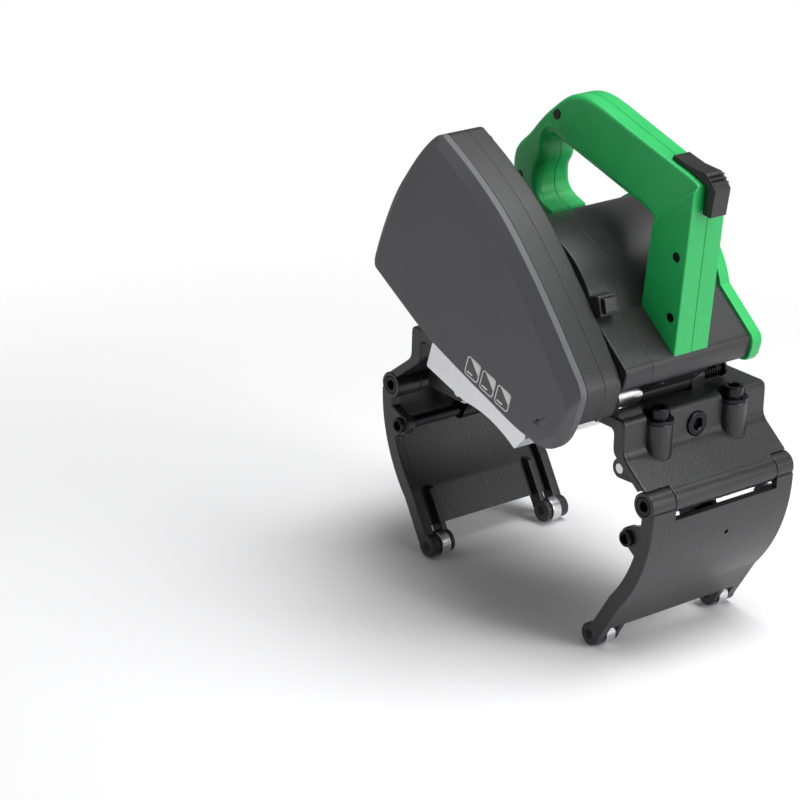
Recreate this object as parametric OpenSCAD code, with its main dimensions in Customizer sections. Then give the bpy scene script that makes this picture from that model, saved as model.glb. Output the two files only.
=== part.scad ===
/* [Pipe and blade] */
// Outside diameter of the pipe that the clamp is set on
pipe_d = 219; // [214:1:221]
// Diameter of the saw blade
blade_d = 140; // [130:1:142]
// Thickness of the saw blade
blade_t = 2; // [1.4:0.1:3]
// Number of teeth on the saw blade
blade_teeth = 40; // [24:2:48]
// Depth of a gullet between two teeth
tooth_h = 4.5; // [3:0.5:6]
// Diameter of the spindle
spindle_d = 16; // [14:0.5:18]

/* [Clamp body] */
// Distance from the blade to the front face of the clamp
body_front = 47; // [47:0.5:49]
// Length of the clamp along the pipe
body_len = 150; // [148:1:156]
// Height of the clamp's flat top above the pipe axis
body_top = 124; // [123.5:0.5:125]
// Half of the width over the clamp's side faces
body_half = 129; // [128:0.5:130]
// Thickness of the top plate
top_wall = 10; // [8:0.5:11]
// Thickness of the side walls
side_wall = 12; // [10:0.5:13]
// Thickness of the sloping walls
slope_wall = 8; // [6:0.5:9]
// Radius of the rounded upper side edge
top_edge_r = 6; // [3:0.5:8]
// Height at which the side face turns into the slope
side_low = 95.5; // [94:0.5:97]
// Diameter of a screw post
post_d = 23; // [22:0.5:25]
// Height of a screw post above the pipe axis
post_top = 117; // [114:0.5:119]
// Distance between the two posts on one side
post_pitch = 79; // [76:1:81]

/* [Jaws] */
// Sideways place of a jaw hinge
jaw_x = 154.5; // [154:0.5:156]
// Height of a jaw hinge
jaw_z = 63.2; // [62:0.2:64]
// Diameter of the hinge knuckles
knuckle_d = 22; // [20:0.5:23]
// Diameter of a jaw hinge pin
jaw_pin_d = 10; // [8:0.5:11]
// Length of a jaw's front knuckle
front_knuckle = 24; // [22:1:26]
// Length of a jaw's rear knuckle
rear_knuckle = 18; // [16:1:20]
// Thickness of a jaw's curved plate
jaw_plate_t = 6; // [4:0.5:7]
// Depth of a jaw's end ribs, seen from the front
jaw_band = 13; // [11:0.5:14]
// Width of a jaw's end ribs along the pipe
rib_w = 9; // [8:0.5:10]
// Radius of a jaw's curved outside
jaw_arc_r = 136.5; // [135:0.5:138]
// Angle of a jaw's roller below the horizontal
tip_angle = 32.3; // [31:0.1:33]

/* [Rollers] */
// Outside diameter of a roller
roller_d = 22; // [20:0.5:22.5]
// Width of a roller along the pipe
roller_w = 9; // [7:0.5:10]
// Diameter of a roller axle
axle_d = 8; // [6:0.5:9]
// Angle of an upper roller from the top of the pipe
upper_angle = 55; // [54:0.5:56]

/* [Jaw drive] */
// Height of the clamp screws
screw_z = 105.5; // [105:0.5:106]
// Diameter of a clamp screw's thread
screw_d = 12; // [10:0.5:12.5]
// Diameter of a clamp screw's head disc
screw_head_d = 20; // [18:0.5:21]
// Sideways place of the nut block when the jaws fit the pipe
nut_x = 95; // [94:0.5:96]

/* [Plunge hinge] */
// Sideways place of the plunge hinge
hinge_x = 101; // [100.5:0.25:102]
// Height of the plunge hinge
hinge_z = 132; // [131.5:0.25:133]
// Tilt of the raised saw unit
unit_tilt = 16.4; // [16:0.1:17]
// Diameter of the plunge hinge barrels
barrel_d = 18; // [16:0.5:18.5]
// Diameter of the plunge hinge pin
hinge_pin_d = 8; // [7:0.5:9]

/* [Guard] */
// Width of the guard's front face
guard_w = 238; // [236:0.5:241]
// Distance from the blade to the guard's front face
guard_front = 14.5; // [13.5:0.5:16]
// Depth of the front cover's slanted rim
rim_depth = 5.5; // [4.5:0.5:6.5]
// Depth of the whole front cover
cover_depth = 12; // [11:0.5:13]
// Depth of the guard's middle ring
ring_depth = 18; // [17:0.5:19]
// Depth of the guard's rear casing
casing_depth = 16.5; // [15:0.5:16.5]
// Wall of the guard's shells
guard_wall = 3; // [2:0.5:3.5]
// Thickness of the moving lower guard
lower_guard_t = 2; // [1.5:0.5:2.5]

/* [Housing] */
// Radius of the housing's round back
housing_r = 72; // [70:0.5:73]
// Length of the gear case
gear_case_len = 27.7; // [27:0.1:29]
// Length of the motor housing
motor_len = 101; // [99:1:104]
// Length of the rear cover
rear_cover_len = 11.5; // [9:0.5:14]
// Wall of the housings
housing_wall = 3.5; // [2.5:0.5:4]

/* [Handle] */
// Width of the handle along the pipe
handle_w = 36; // [32:1:38]
// Distance from the blade to the middle of the handle
handle_mid = 99; // [98:0.5:101]
// Wall of the hollow handle
handle_wall = 4; // [3:0.5:5]
// Travel of the slide switch
switch_travel = 6; // [4:0.5:8]

/* [Hidden] */
$fn = 48;

// Overrun of every cut
over = 1;
// Thickness of the first and last slice of a slanted edge
thin_share = 0.02;
// Radial clearance of a pin in its bore
fit = 0.05;
// Gap between parts that move past each other
gap = 0.3;
// Wider gap round the jaw knuckles
knuckle_gap = 1.2;

// Places worked out from the sizes above
pipe_r = pipe_d/2;
blade_r = blade_d/2;
body_back = body_front + body_len;
body_mid = (body_front + body_back)/2;
roller_r = roller_d/2;
roller_path = pipe_r + roller_r;
tip = [roller_path*cos(tip_angle), -roller_path*sin(tip_angle)];
upper = [roller_path*sin(upper_angle), roller_path*cos(upper_angle)];
knuckle_r = knuckle_d/2;
jaw_hinge = [jaw_x, jaw_z];
post_inset = 0.5;
post_x = body_half - post_inset;
post_ys = [body_mid - post_pitch/2, body_mid + post_pitch/2];

// Functions that work on outlines in the X-Z plane
function unit(v) = v/norm(v);
function scaled(shares, size) = [for (p = shares) p*size];
function flipped(pts) = [for (i = [len(pts) - 1:-1:0]) [-pts[i][0], pts[i][1]]];
function arc(c, r, a0, a1, n) = [for (i = [0:n]) let(a = a0 + (a1 - a0)*i/n) c + r*[cos(a), sin(a)]];
// A clockwise outline moved outwards by d, with mitred corners
function grown(p, d) = let(n = len(p)) [for (i = [0:n - 1]) let(
    u = unit(p[i] - p[(i + n - 1)%n]),
    v = unit(p[(i + 1)%n] - p[i]),
    m = [-u[1], u[0]],
    k = [-v[1], v[0]]
  ) p[i] + d*(m + k)/(1 + m*k)];
// A corner b between a and c rounded with radius r
function rounded(a, b, c, r, n) = let(
    u = unit(a - b),
    v = unit(c - b),
    half = acos(u*v)/2,
    s = r/tan(half),
    o = b + unit(u + v)*r/sin(half),
    p = b + u*s - o,
    q = b + v*s - o,
    a0 = atan2(p[1], p[0]),
    turn = atan2(p[0]*q[1] - p[1]*q[0], p*q)
  ) [for (i = [0:n]) o + r*[cos(a0 + turn*i/n), sin(a0 + turn*i/n)]];

// An X-Z outline extruded along the pipe from y0
module along(y0, len) {
  translate([0, y0 + len, 0]) rotate([90, 0, 0]) linear_extrude(len) children();
}
// A rod along the pipe
module rod(p, y0, len, d) {
  translate([p[0], y0, p[1]]) rotate([-90, 0, 0]) cylinder(h = len, d = d);
}
// A hexagonal socket along the pipe
module hex_y(p, y0, len, d) {
  translate([p[0], y0, p[1]]) rotate([-90, 0, 0]) cylinder(h = len, d = d, $fn = 6);
}
// A slanted edge between two convex outlines
module slanted(p, y0, q, y1) {
  thin = abs(y1 - y0)*thin_share;
  hull() {
    along(y0 < y1 ? y0 : y0 - thin, thin) polygon(p);
    along(y0 < y1 ? y1 - thin : y1, thin) polygon(q);
  }
}
// Both sides of a mirrored pair
module both_sides() {
  children();
  mirror([1, 0, 0]) children();
}
// The saw unit hangs on the plunge hinge; inside it the origin is the blade's centre
hinge_reach = 84.7;
hinge_rise = 26.9;
pivot = [hinge_reach, -hinge_rise];
module on_unit() {
  translate([hinge_x, 0, hinge_z]) rotate([0, unit_tilt, 0]) translate([-hinge_reach, 0, hinge_rise]) children();
}

// Direction square to the sloping wall, and the slope's distance from the hinge
slope_foot = 10.2;
slope_turn = 52.6;
slope_n = [cos(slope_turn), sin(slope_turn)];
slope_end = jaw_hinge + slope_foot*slope_n;
slope_in = slope_end - slope_wall*slope_n;
inner_x = body_half - side_wall;
inner_top = body_top - top_wall;
inner_low = slope_in[1] + (slope_in[0] - inner_x)*slope_n[0]/slope_n[1];
// Ears that hold the plunge pin
ear_front_len = 11;
web_knuckle_len = 24;
frame_knuckle_len = 52;
ear_rear_len = 13.7;
ear_front = body_front;
web_knuckle = ear_front + ear_front_len + gap;
frame_knuckle = web_knuckle + web_knuckle_len + gap;
ear_rear = frame_knuckle + frame_knuckle_len + gap;
barrel_r = barrel_d/2;
// Slot in the top plate for the lower guard's arm
slot_left = 44;
slot_right = 2;
// Threaded part of a post screw
post_screw_d = 10;
post_washer_d = 24;
post_washer_t = 2.5;
post_washer_in = 7;
post_head_d = 16;
post_head_h = 9;
post_low = 30;
post_seat_play = 0.5;
socket_d = 9;
socket_deep = 5;
// Bosses that carry the clamp screw
screw_y = body_mid + 1;
screw_end_x = 44;
lug_t = 10;
lug_w = 26;
lug_low = 8;
link_room = 4.5;

module clamp_profile() {
  outer = concat(
    rounded([0, body_top], [body_half, body_top], [body_half, side_low], top_edge_r, 6),
    [[body_half, side_low], slope_end, slope_in, [inner_x, inner_low], [inner_x, inner_top]]
  );
  polygon(concat(outer, flipped(outer)));
}
module clamp_body() {
  centre_len = body_len - front_knuckle - rear_knuckle;
  centre_y = body_front + front_knuckle + gap;
  color([0.12, 0.12, 0.13]) difference() {
    union() {
      along(body_front, body_len) clamp_profile();
      both_sides() rod(jaw_hinge, centre_y, centre_len - gap*2, knuckle_d);
      both_sides() for (y = post_ys) difference() {
        translate([post_x, y, post_top - post_low]) cylinder(h = post_low, d = post_d);
        translate([-over, y - post_d, -over]) cube([inner_x + over, post_d*2, body_top*2]);
      }
      for (e = [[ear_front, ear_front_len], [ear_rear, ear_rear_len]]) {
        rod([hinge_x, hinge_z], e[0], e[1], barrel_d);
        translate([hinge_x - barrel_r, e[0], inner_top + over]) cube([barrel_d, e[1], hinge_z - inner_top - over]);
      }
      both_sides() translate([screw_end_x, screw_y - lug_w/2, screw_z - lug_low])
        cube([lug_t, lug_w, inner_top + over - screw_z + lug_low]);
    }
    // Room below the slope inside the posts
    both_sides() along(body_front - over, body_len + over*2)
      polygon([slope_in, [inner_x, inner_low], [inner_x, 0], [slope_in[0], 0]]);
    // Knuckle room for the jaws
    both_sides() rod(jaw_hinge, body_front - over, front_knuckle + over + gap, knuckle_d + knuckle_gap*2);
    both_sides() rod(jaw_hinge, body_back - rear_knuckle - gap, rear_knuckle + over + gap, knuckle_d + knuckle_gap*2);
    both_sides() rod(jaw_hinge, body_front - over, body_len + over*2, jaw_pin_d + fit*2);
    // Plunge hinge
    rod([hinge_x, hinge_z], ear_front - over, ear_rear + ear_rear_len - ear_front + over*2, hinge_pin_d + fit*2);
    rod([hinge_x, hinge_z], web_knuckle - gap, ear_rear - web_knuckle + gap, barrel_d + over*2);
    translate([hinge_x - slot_left, web_knuckle - gap, inner_top - over])
      cube([slot_left + slot_right, web_knuckle_len + gap*2, top_wall + over*2]);
    // Screw holes down through the posts
    both_sides() for (y = post_ys) translate([post_x, y, 0]) cylinder(h = body_top*2, d = post_screw_d + fit*2);
    // Pocket above the nut and link
    both_sides() translate([screw_end_x + lug_t, screw_y - nut_w/2 - link_t - pocket_play, inner_top - over])
      cube([inner_x - screw_end_x - lug_t, nut_w + link_t*2 + pocket_play*2, pocket_h + over]);
    // Seats of the washers in the top edge
    both_sides() for (y = post_ys) translate([post_x, y, post_top])
      cylinder(h = body_top, d = post_washer_d + post_seat_play*2);
    // Room for the link at the side wall
    both_sides() translate([inner_x - over, screw_y - nut_w/2 - link_t - pocket_play, inner_low - link_w])
      cube([link_room + over, nut_w + link_t*2 + pocket_play*2, inner_top - inner_low + link_w]);
    // Clamp screw bearings
    both_sides() translate([screw_end_x - over, screw_y, screw_z]) rotate([0, 90, 0])
      cylinder(h = body_half - screw_end_x + over*2, d = screw_d + fit*2);
    both_sides() translate([body_half - screw_head_sunk, screw_y, screw_z]) rotate([0, 90, 0])
      cylinder(h = screw_head_sunk + over, d = screw_head_d + gap*2);
  }
}
module post_screws() {
  color([0.16, 0.16, 0.17]) both_sides() for (y = post_ys) translate([post_x, y, 0]) difference() {
    union() {
      translate([0, 0, yoke_screw_low]) cylinder(h = post_top + post_washer_t - yoke_screw_low, d = post_screw_d);
      translate([0, 0, post_top + post_washer_t]) cylinder(h = post_head_h, d = post_head_d);
    }
    translate([0, 0, post_top + post_washer_t + post_head_h - socket_deep])
      cylinder(h = socket_deep + over, d = socket_d, $fn = 6);
  }
}
module post_washers() {
  color([0.55, 0.56, 0.58]) both_sides() for (y = post_ys) translate([post_x, y, post_top]) difference() {
    cylinder(h = post_washer_t, d = post_washer_d);
    translate([0, 0, -over]) cylinder(h = post_washer_t + over*2, d = post_screw_d + fit*2);
  }
}

// Yokes under the slope that carry the upper rollers
yoke_screw_low = 68;
yoke_cheek_t = 5;
yoke_ring = 8;
yoke_left = 9;
yoke_right = 8;
yoke_low = 62;
module roller_yokes() {
  full = roller_w + gap*2 + yoke_cheek_t*2;
  color([0.2, 0.2, 0.21]) both_sides() for (y = post_ys) difference() {
    union() {
      along(y - full/2, full) difference() {
        polygon([
          upper + [0, yoke_ring], [post_x - yoke_left, yoke_top(post_x - yoke_left)],
          [post_x + yoke_right, yoke_top(post_x + yoke_right)], [post_x + yoke_right, yoke_low],
          [post_x - yoke_left, yoke_low], upper - [0, yoke_ring]
        ]);
      }
      rod(upper, y - full/2, full, yoke_ring*2);
    }
    translate([0, y - roller_w/2 - gap, 0])
      cube([upper[0] + roller_r + over, roller_w + gap*2, body_top]);
    rod(upper, y - full, full*2, axle_d + fit*2);
    translate([post_x, y, 0]) cylinder(h = body_top, d = post_screw_d + fit*2);
  }
}
// Height of the slope's inner face at x
function yoke_top(x) = slope_in[1] + (slope_in[0] - x)*slope_n[0]/slope_n[1];
module yoke_axles() {
  full = roller_w + gap*2 + yoke_cheek_t*2;
  color([0.6, 0.61, 0.63]) both_sides() for (y = post_ys) rod(upper, y - full/2, full, axle_d);
}
module roller(p, y) {
  difference() {
    rod(p, y - roller_w/2, roller_w, roller_d);
    rod(p, y - roller_w, roller_w*2, axle_d + fit*2);
  }
}
module yoke_rollers() {
  color([0.78, 0.79, 0.8]) for (y = post_ys) roller(upper, y);
}
module yoke_rollers_right() { yoke_rollers(); }
module yoke_rollers_left() { mirror([1, 0, 0]) yoke_rollers(); }

// A jaw seen from the front, right side
jaw_arc_x = 29.1;
jaw_arc_z = 58.1;
jaw_arc_c = [jaw_arc_x, jaw_arc_z];
jaw_bend = -41;
tip_r = 9.5;
jaw_lug_x = 139.7;
jaw_lug_z = 32.2;
lug = [jaw_lug_x, jaw_lug_z];
jaw_lug_r = 8.5;
jaw_bolt_d = 10;
jaw_bolt_head_d = 13;
jaw_bolt_head_h = 4;
lug_web_high = 46;
lug_web_low = 14;
notch_low = 49.5;
notch_gap = 2.5;
tap_hole_d = 4;
tap_hole_z = 23.5;
tap_hole_y = 9;
plate_end_share = 0.62;
cheek_t = 5;

bend = jaw_arc_c + jaw_arc_r*[cos(jaw_bend), sin(jaw_bend)];
tip_dir = unit(bend - tip);
tip_side = [tip_dir[1], -tip_dir[0]];
tip_inset = 0.5;
strip_steps = 14;
module jaw_strip(depth, share) {
  // Curved part and straight part with the same thickness
  straight = tip + tip_side*(tip_r - tip_inset) - bend;
  low = bend + straight*share;
  polygon(concat(
    [jaw_hinge],
    arc(jaw_arc_c, jaw_arc_r, 0, jaw_bend, strip_steps),
    [low, low + unit([straight[1], -straight[0]])*depth],
    arc(jaw_arc_c, jaw_arc_r - depth, jaw_bend, 0, strip_steps)
  ));
}
module jaw_rib(depth) {
  jaw_strip(depth, 1);
  translate(tip) circle(r = tip_r);
  translate(jaw_hinge) circle(r = knuckle_r);
  translate(lug) circle(r = jaw_lug_r);
  polygon([
    lug + [0, jaw_lug_r], [jaw_arc_x + jaw_arc_r - jaw_band, lug_web_high],
    [jaw_arc_x + jaw_arc_r - jaw_band, lug_web_low], lug - [0, jaw_lug_r]
  ]);
}
module jaw() {
  back = body_back - rear_knuckle;
  notch_front = body_front + front_knuckle;
  color([0.12, 0.12, 0.13]) difference() {
    union() {
      along(body_front, rib_w) jaw_rib(jaw_band);
      along(body_back - rib_w, rib_w) jaw_rib(jaw_band);
      rod(jaw_hinge, body_front, front_knuckle, knuckle_d);
      rod(jaw_hinge, back, rear_knuckle, knuckle_d);
      difference() {
        along(body_front, body_len) jaw_strip(jaw_plate_t, plate_end_share);
        translate([0, notch_front - over, notch_low])
          cube([jaw_x*2, back - notch_front + over*2, knuckle_d*2]);
      }
      for (y = [body_front + rib_w + roller_w + gap*2, body_back - rib_w - roller_w - gap*2 - cheek_t])
        along(y, cheek_t) intersection() {
          jaw_rib(jaw_band);
          translate([0, -jaw_arc_r]) square([jaw_arc_r*2, jaw_arc_r - cheek_drop]);
        }
    }
    rod(jaw_hinge, body_front - over, body_len + over*2, jaw_pin_d + fit*2);
    rod(jaw_hinge, body_front - over, pin_head_h + over + gap, pin_head_d + gap*2);
    rod(tip, body_front - over, body_len + over*2, axle_d + fit*2);
    rod(lug, body_front - over, body_len + over*2, jaw_bolt_d + fit*2);
    translate([jaw_x - knuckle_r, body_mid + tap_hole_y, tap_hole_z]) rotate([0, 90, 0])
      cylinder(h = knuckle_d*2, d = tap_hole_d);
  }
}
cheek_drop = 24;
pin_head_d = 15.5;
pin_head_h = 5;
pin_socket_d = 8;
module jaw_right() { jaw(); }
module jaw_left() { mirror([1, 0, 0]) jaw(); }
module jaw_pins() {
  color([0.2, 0.2, 0.22]) both_sides() difference() {
    union() {
      rod(jaw_hinge, body_front, body_len, jaw_pin_d);
      rod(jaw_hinge, body_front, pin_head_h, pin_head_d);
    }
    hex_y(jaw_hinge, body_front - over, pin_head_h - over + over, pin_socket_d);
  }
}
module jaw_bolt() {
  color([0.2, 0.2, 0.22]) difference() {
    union() {
      rod(lug, body_front, body_len, jaw_bolt_d);
      rod(lug, body_front - jaw_bolt_head_h, jaw_bolt_head_h, jaw_bolt_head_d);
    }
    hex_y(lug, body_front - jaw_bolt_head_h - over, jaw_bolt_head_h + over, pin_socket_d);
  }
}
module jaw_bolt_right() { jaw_bolt(); }
module jaw_bolt_left() { mirror([1, 0, 0]) jaw_bolt(); }
axle_span = rib_w + roller_w + gap*2 + cheek_t;
jaw_roller_ys = [body_front + rib_w + gap + roller_w/2, body_back - rib_w - gap - roller_w/2];
module jaw_axles() {
  color([0.6, 0.61, 0.63]) for (y = [body_front, body_back - axle_span]) rod(tip, y, axle_span, axle_d);
}
module jaw_axles_right() { jaw_axles(); }
module jaw_axles_left() { mirror([1, 0, 0]) jaw_axles(); }
module jaw_rollers() {
  color([0.78, 0.79, 0.8]) for (y = jaw_roller_ys) roller(tip, y);
}
module jaw_rollers_right() { jaw_rollers(); }
module jaw_rollers_left() { mirror([1, 0, 0]) jaw_rollers(); }

// Screw, nut block and link that swing a jaw
screw_head_sunk = 3;
screw_head_t = 5;
screw_socket_d = 9;
nut_w = 18;
nut_h = 16;
nut_len = 20;
nut_pin_d = 7;
nut_pin_len = 6;
link_t = 5;
link_w = 13;
link_play = 2;
link_ring = 3;
pocket_h = 3.5;
pocket_play = 3;
module clamp_screw() {
  color([0.3, 0.3, 0.32]) translate([0, screw_y, screw_z]) rotate([0, 90, 0]) difference() {
    union() {
      translate([0, 0, screw_end_x]) cylinder(h = body_half - screw_end_x, d = screw_d);
      translate([0, 0, body_half - screw_head_sunk]) cylinder(h = screw_head_t, d = screw_head_d);
    }
    translate([0, 0, body_half - screw_head_sunk + screw_head_t - socket_deep + over])
      cylinder(h = socket_deep, d = screw_socket_d, $fn = 6);
  }
}
module clamp_screw_right() { clamp_screw(); }
module clamp_screw_left() { mirror([1, 0, 0]) clamp_screw(); }
module clamp_nut() {
  color([0.75, 0.62, 0.3]) difference() {
    union() {
      translate([nut_x - nut_len/2, screw_y - nut_w/2, screw_z - nut_h/2]) cube([nut_len, nut_w, nut_h]);
      for (s = [-1, 1])
        rod([nut_x, screw_z], screw_y + s*(nut_w + nut_pin_len)/2 - nut_pin_len/2, nut_pin_len, nut_pin_d);
    }
    translate([0, screw_y, screw_z]) rotate([0, 90, 0]) cylinder(h = body_half, d = screw_d + fit*2);
  }
}
module clamp_nut_right() { clamp_nut(); }
module clamp_nut_left() { mirror([1, 0, 0]) clamp_nut(); }
module jaw_link() {
  a = [nut_x, screw_z];
  d = unit(lug - a);
  s = [d[1], -d[0]]*link_w/2;
  eye = nut_pin_d/2 + link_play;
  color([0.35, 0.35, 0.37]) difference() {
    union() {
      for (y = [screw_y - nut_w/2 - gap - link_t, screw_y + nut_w/2 + gap]) {
        along(y, link_t) polygon([a + s, lug + s, lug - s, a - s]);
        rod(a, y, link_t, (eye + link_ring)*2);
        rod(lug, y, link_t, link_w + link_ring);
      }
      rod(lug, screw_y - nut_w/2 - gap - link_t, nut_w + gap*2 + link_t*2, link_w + link_ring);
    }
    rod(a, screw_y - nut_w*2, nut_w*4, eye*2);
    rod(lug, screw_y - nut_w*2, nut_w*4, jaw_bolt_d + fit*2);
  }
}
module jaw_link_right() { jaw_link(); }
module jaw_link_left() { mirror([1, 0, 0]) jaw_link(); }

// Plunge hinge pin and return spring
plunge_head_d = 14;
plunge_head_t = 3;
spring_wire = 2;
spring_turns = 6;
spring_pitch = 2.7;
spring_steps = 8;
spring_sides = 6;
spring_start = 2.5;
spring_r = hinge_pin_d/2 + gap + spring_wire/2;
spring_y = ear_rear + ear_rear_len;
plunge_back = spring_y + spring_start + spring_turns*spring_pitch + spring_wire;
function helix(t) = [spring_r*cos(t*360), spring_start + t*spring_pitch, spring_r*sin(t*360)];
spring_path = [for (i = [0:spring_turns*spring_steps]) helix(i/spring_steps)];
spring_gaps = [for (i = [0:len(spring_path) - 1 - spring_steps])
  norm(spring_path[i + spring_steps] - spring_path[i]) - spring_wire];
echo(least_spring_gap = min(spring_gaps));
module tube(path, d, sides) {
  n = len(path);
  rings = [for (i = [0:n - 1]) let(
      t = unit(path[min(i + 1, n - 1)] - path[max(i - 1, 0)]),
      a = unit(cross(t, [0, 1, 0])),
      b = cross(t, a)
    ) [for (k = [0:sides - 1]) path[i] + d/2*(cos(k*360/sides)*a + sin(k*360/sides)*b)]];
  polyhedron(
    [for (r = rings) each r],
    [[for (k = [0:sides - 1]) k], [for (k = [sides - 1:-1:0]) (n - 1)*sides + k],
     for (i = [0:n - 2], k = [0:sides - 1]) each [
       [i*sides + k, (i + 1)*sides + (k + 1)%sides, i*sides + (k + 1)%sides],
       [i*sides + k, (i + 1)*sides + k, (i + 1)*sides + (k + 1)%sides]
     ]]
  );
}
module plunge_pin() {
  color([0.5, 0.51, 0.53]) union() {
    rod([hinge_x, hinge_z], ear_front - plunge_head_t, plunge_back - ear_front + plunge_head_t, hinge_pin_d);
    rod([hinge_x, hinge_z], ear_front - plunge_head_t, plunge_head_t, plunge_head_d);
    rod([hinge_x, hinge_z], plunge_back, plunge_head_t, plunge_head_d);
  }
}
module plunge_spring() {
  color([0.3, 0.3, 0.31]) translate([hinge_x, spring_y, hinge_z]) tube(spring_path, spring_wire, spring_sides);
}

// Guard outlines, as shares of the guard's width
face_shares = [
  [-0.54, -0.099], [-0.538, -0.042], [-0.525, 0.076], [-0.504, 0.181], [-0.479, 0.265], [-0.441, 0.361],
  [-0.399, 0.433], [-0.382, 0.454], [-0.231, 0.414], [-0.063, 0.351], [0.105, 0.25], [0.273, 0.132],
  [0.357, 0.071], [0.441, 0.008], [0.462, -0.013], [0.45, -0.08], [0.431, -0.128], [0.399, -0.166],
  [0.37, -0.189], [0.332, -0.204], [0.105, -0.2], [-0.063, -0.189], [-0.231, -0.172], [-0.399, -0.134]
];
edge_shares = [
  [-0.567, -0.105], [-0.565, -0.034], [-0.555, 0.08], [-0.536, 0.189], [-0.508, 0.277], [-0.468, 0.378],
  [-0.426, 0.454], [-0.397, 0.489], [-0.231, 0.452], [-0.055, 0.393], [0.133, 0.293], [0.294, 0.191],
  [0.387, 0.126], [0.466, 0.067], [0.483, 0.042], [0.479, -0.067], [0.464, -0.134], [0.433, -0.183],
  [0.391, -0.212], [0.345, -0.223], [0.105, -0.214], [-0.063, -0.206], [-0.231, -0.189], [-0.412, -0.149]
];
casing_low_share = -0.092;
casing_last = 14;
face = scaled(face_shares, guard_w);
edge = scaled(edge_shares, guard_w);
casing_low = casing_low_share*guard_w;
casing = concat(
  [[edge[0][0], casing_low]],
  [for (i = [1:casing_last]) edge[i]],
  [[edge[casing_last + 1][0], edge[casing_last + 1][1]]],
  [[edge[casing_last + 1][0] - (edge[casing_last + 1][1] - casing_low), casing_low]]
);
ring_y = -guard_front + cover_depth;
casing_y = ring_y + ring_depth;
casing_back = casing_y + casing_depth;
seam = 0.8;
module cover_body() {
  slanted(face, -guard_front, edge, -guard_front + rim_depth);
  along(-guard_front + rim_depth, cover_depth - rim_depth) polygon(edge);
}
// Marks on the guard
icon_size = 17.5;
icon_pitch = 19;
icon_x = -3;
icon_z = -45;
icon_line = 1.2;
mark_deep = 0.5;
module icon_frame(i) {
  translate([icon_x + i*icon_pitch, icon_z + icon_lift(i)]) difference() {
    square(icon_size);
    translate([icon_line, icon_line]) square(icon_size - icon_line*2);
  }
}
icon_step_share = 0.6;
function icon_lift(i) = icon_line*(2 - i*icon_step_share);
module guard_front_cover() {
  color([0.3, 0.3, 0.31]) difference() {
    cover_body();
    difference() {
      along(-guard_front + guard_wall, cover_depth) polygon(grown(face, -guard_wall));
      guard_bosses(-guard_front, cover_depth*2);
    }
    for (p = guard_screw_ps) rod(p, ring_y - guard_screw_in - gap, cover_depth, guard_screw_d + fit*2);
    // Way for the lower guard behind the bottom edge
    translate([edge[0][0] + guard_wall, -guard_front + rim_depth, -guard_w])
      cube([edge[18][0] - edge[0][0] - guard_wall, cover_depth, guard_w + casing_low]);
    for (i = [0:2]) along(-guard_front - over, mark_deep + over) icon_frame(i);
    // Arrow of the blade's turn
    along(-guard_front - over, mark_deep + over) polygon(scaled(arrow_shares, guard_w));
  }
}
arrow_shares = [
  [0.315, -0.113], [0.335, -0.125], [0.349, -0.146], [0.358, -0.146], [0.346, -0.119], [0.322, -0.104],
  [0.322, -0.097], [0.307, -0.11], [0.318, -0.121]
];
module casing_shell(y0, len) {
  along(y0, len) difference() {
    polygon(casing);
    polygon(concat(
      [[casing[0][0] + guard_wall, casing_low - over]],
      [for (i = [1:len(casing) - 2]) grown(casing, -guard_wall)[i]],
      [[casing[len(casing) - 1][0] - guard_wall, casing_low - over]]
    ));
  }
}
module guard_bosses(y0, len) {
  along(y0, len) intersection() {
    polygon(casing);
    for (p = guard_screw_ps) translate(p) circle(d = guard_boss_d);
  }
}
module guard_middle_ring() {
  color([0.2, 0.2, 0.21]) difference() {
    union() {
      casing_shell(ring_y, ring_depth);
      guard_bosses(ring_y, ring_depth);
    }
    for (p = guard_screw_ps) rod(p, ring_y - over, ring_depth + over*2, guard_screw_d + fit*2);
  }
}
nose_hole_d = 50;
guard_screw_d = 4;
guard_screw_head_d = 7;
guard_screw_head_h = 3;
guard_boss_d = 9;
guard_screw_in = 5;
guard_screw_shares = [[-0.54, -0.06], [-0.502, 0.22], [-0.36, 0.452], [-0.03, 0.352], [0.452, -0.045]];
guard_screw_ps = scaled(guard_screw_shares, guard_w);
module guard_rear_casing() {
  color([0.16, 0.16, 0.17]) difference() {
    union() {
      casing_shell(casing_y, casing_depth);
      along(casing_back - guard_wall, guard_wall) polygon(casing);
      guard_bosses(casing_y, casing_depth);
      latch_lug();
    }
    rod(latch, latch_y, latch_t + latch_lug_t*2, latch_pin_d + fit*2);
    rod([0, 0], casing_back - guard_wall - over, guard_wall + over*2, nose_hole_d);
    for (p = gear_screw_ps) rod(p, casing_back - guard_wall - over, guard_wall + over*2, gear_screw_d + fit*2);
    for (p = guard_screw_ps) rod(p, casing_y - over, casing_depth + over*2, guard_screw_d + fit*2);
  }
}
module guard_screws() {
  color([0.5, 0.5, 0.52]) for (p = guard_screw_ps) {
    rod(p, ring_y - guard_screw_in, casing_back - ring_y + guard_screw_in, guard_screw_d);
    rod(p, casing_back, guard_screw_head_h, guard_screw_head_d);
  }
}
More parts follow.
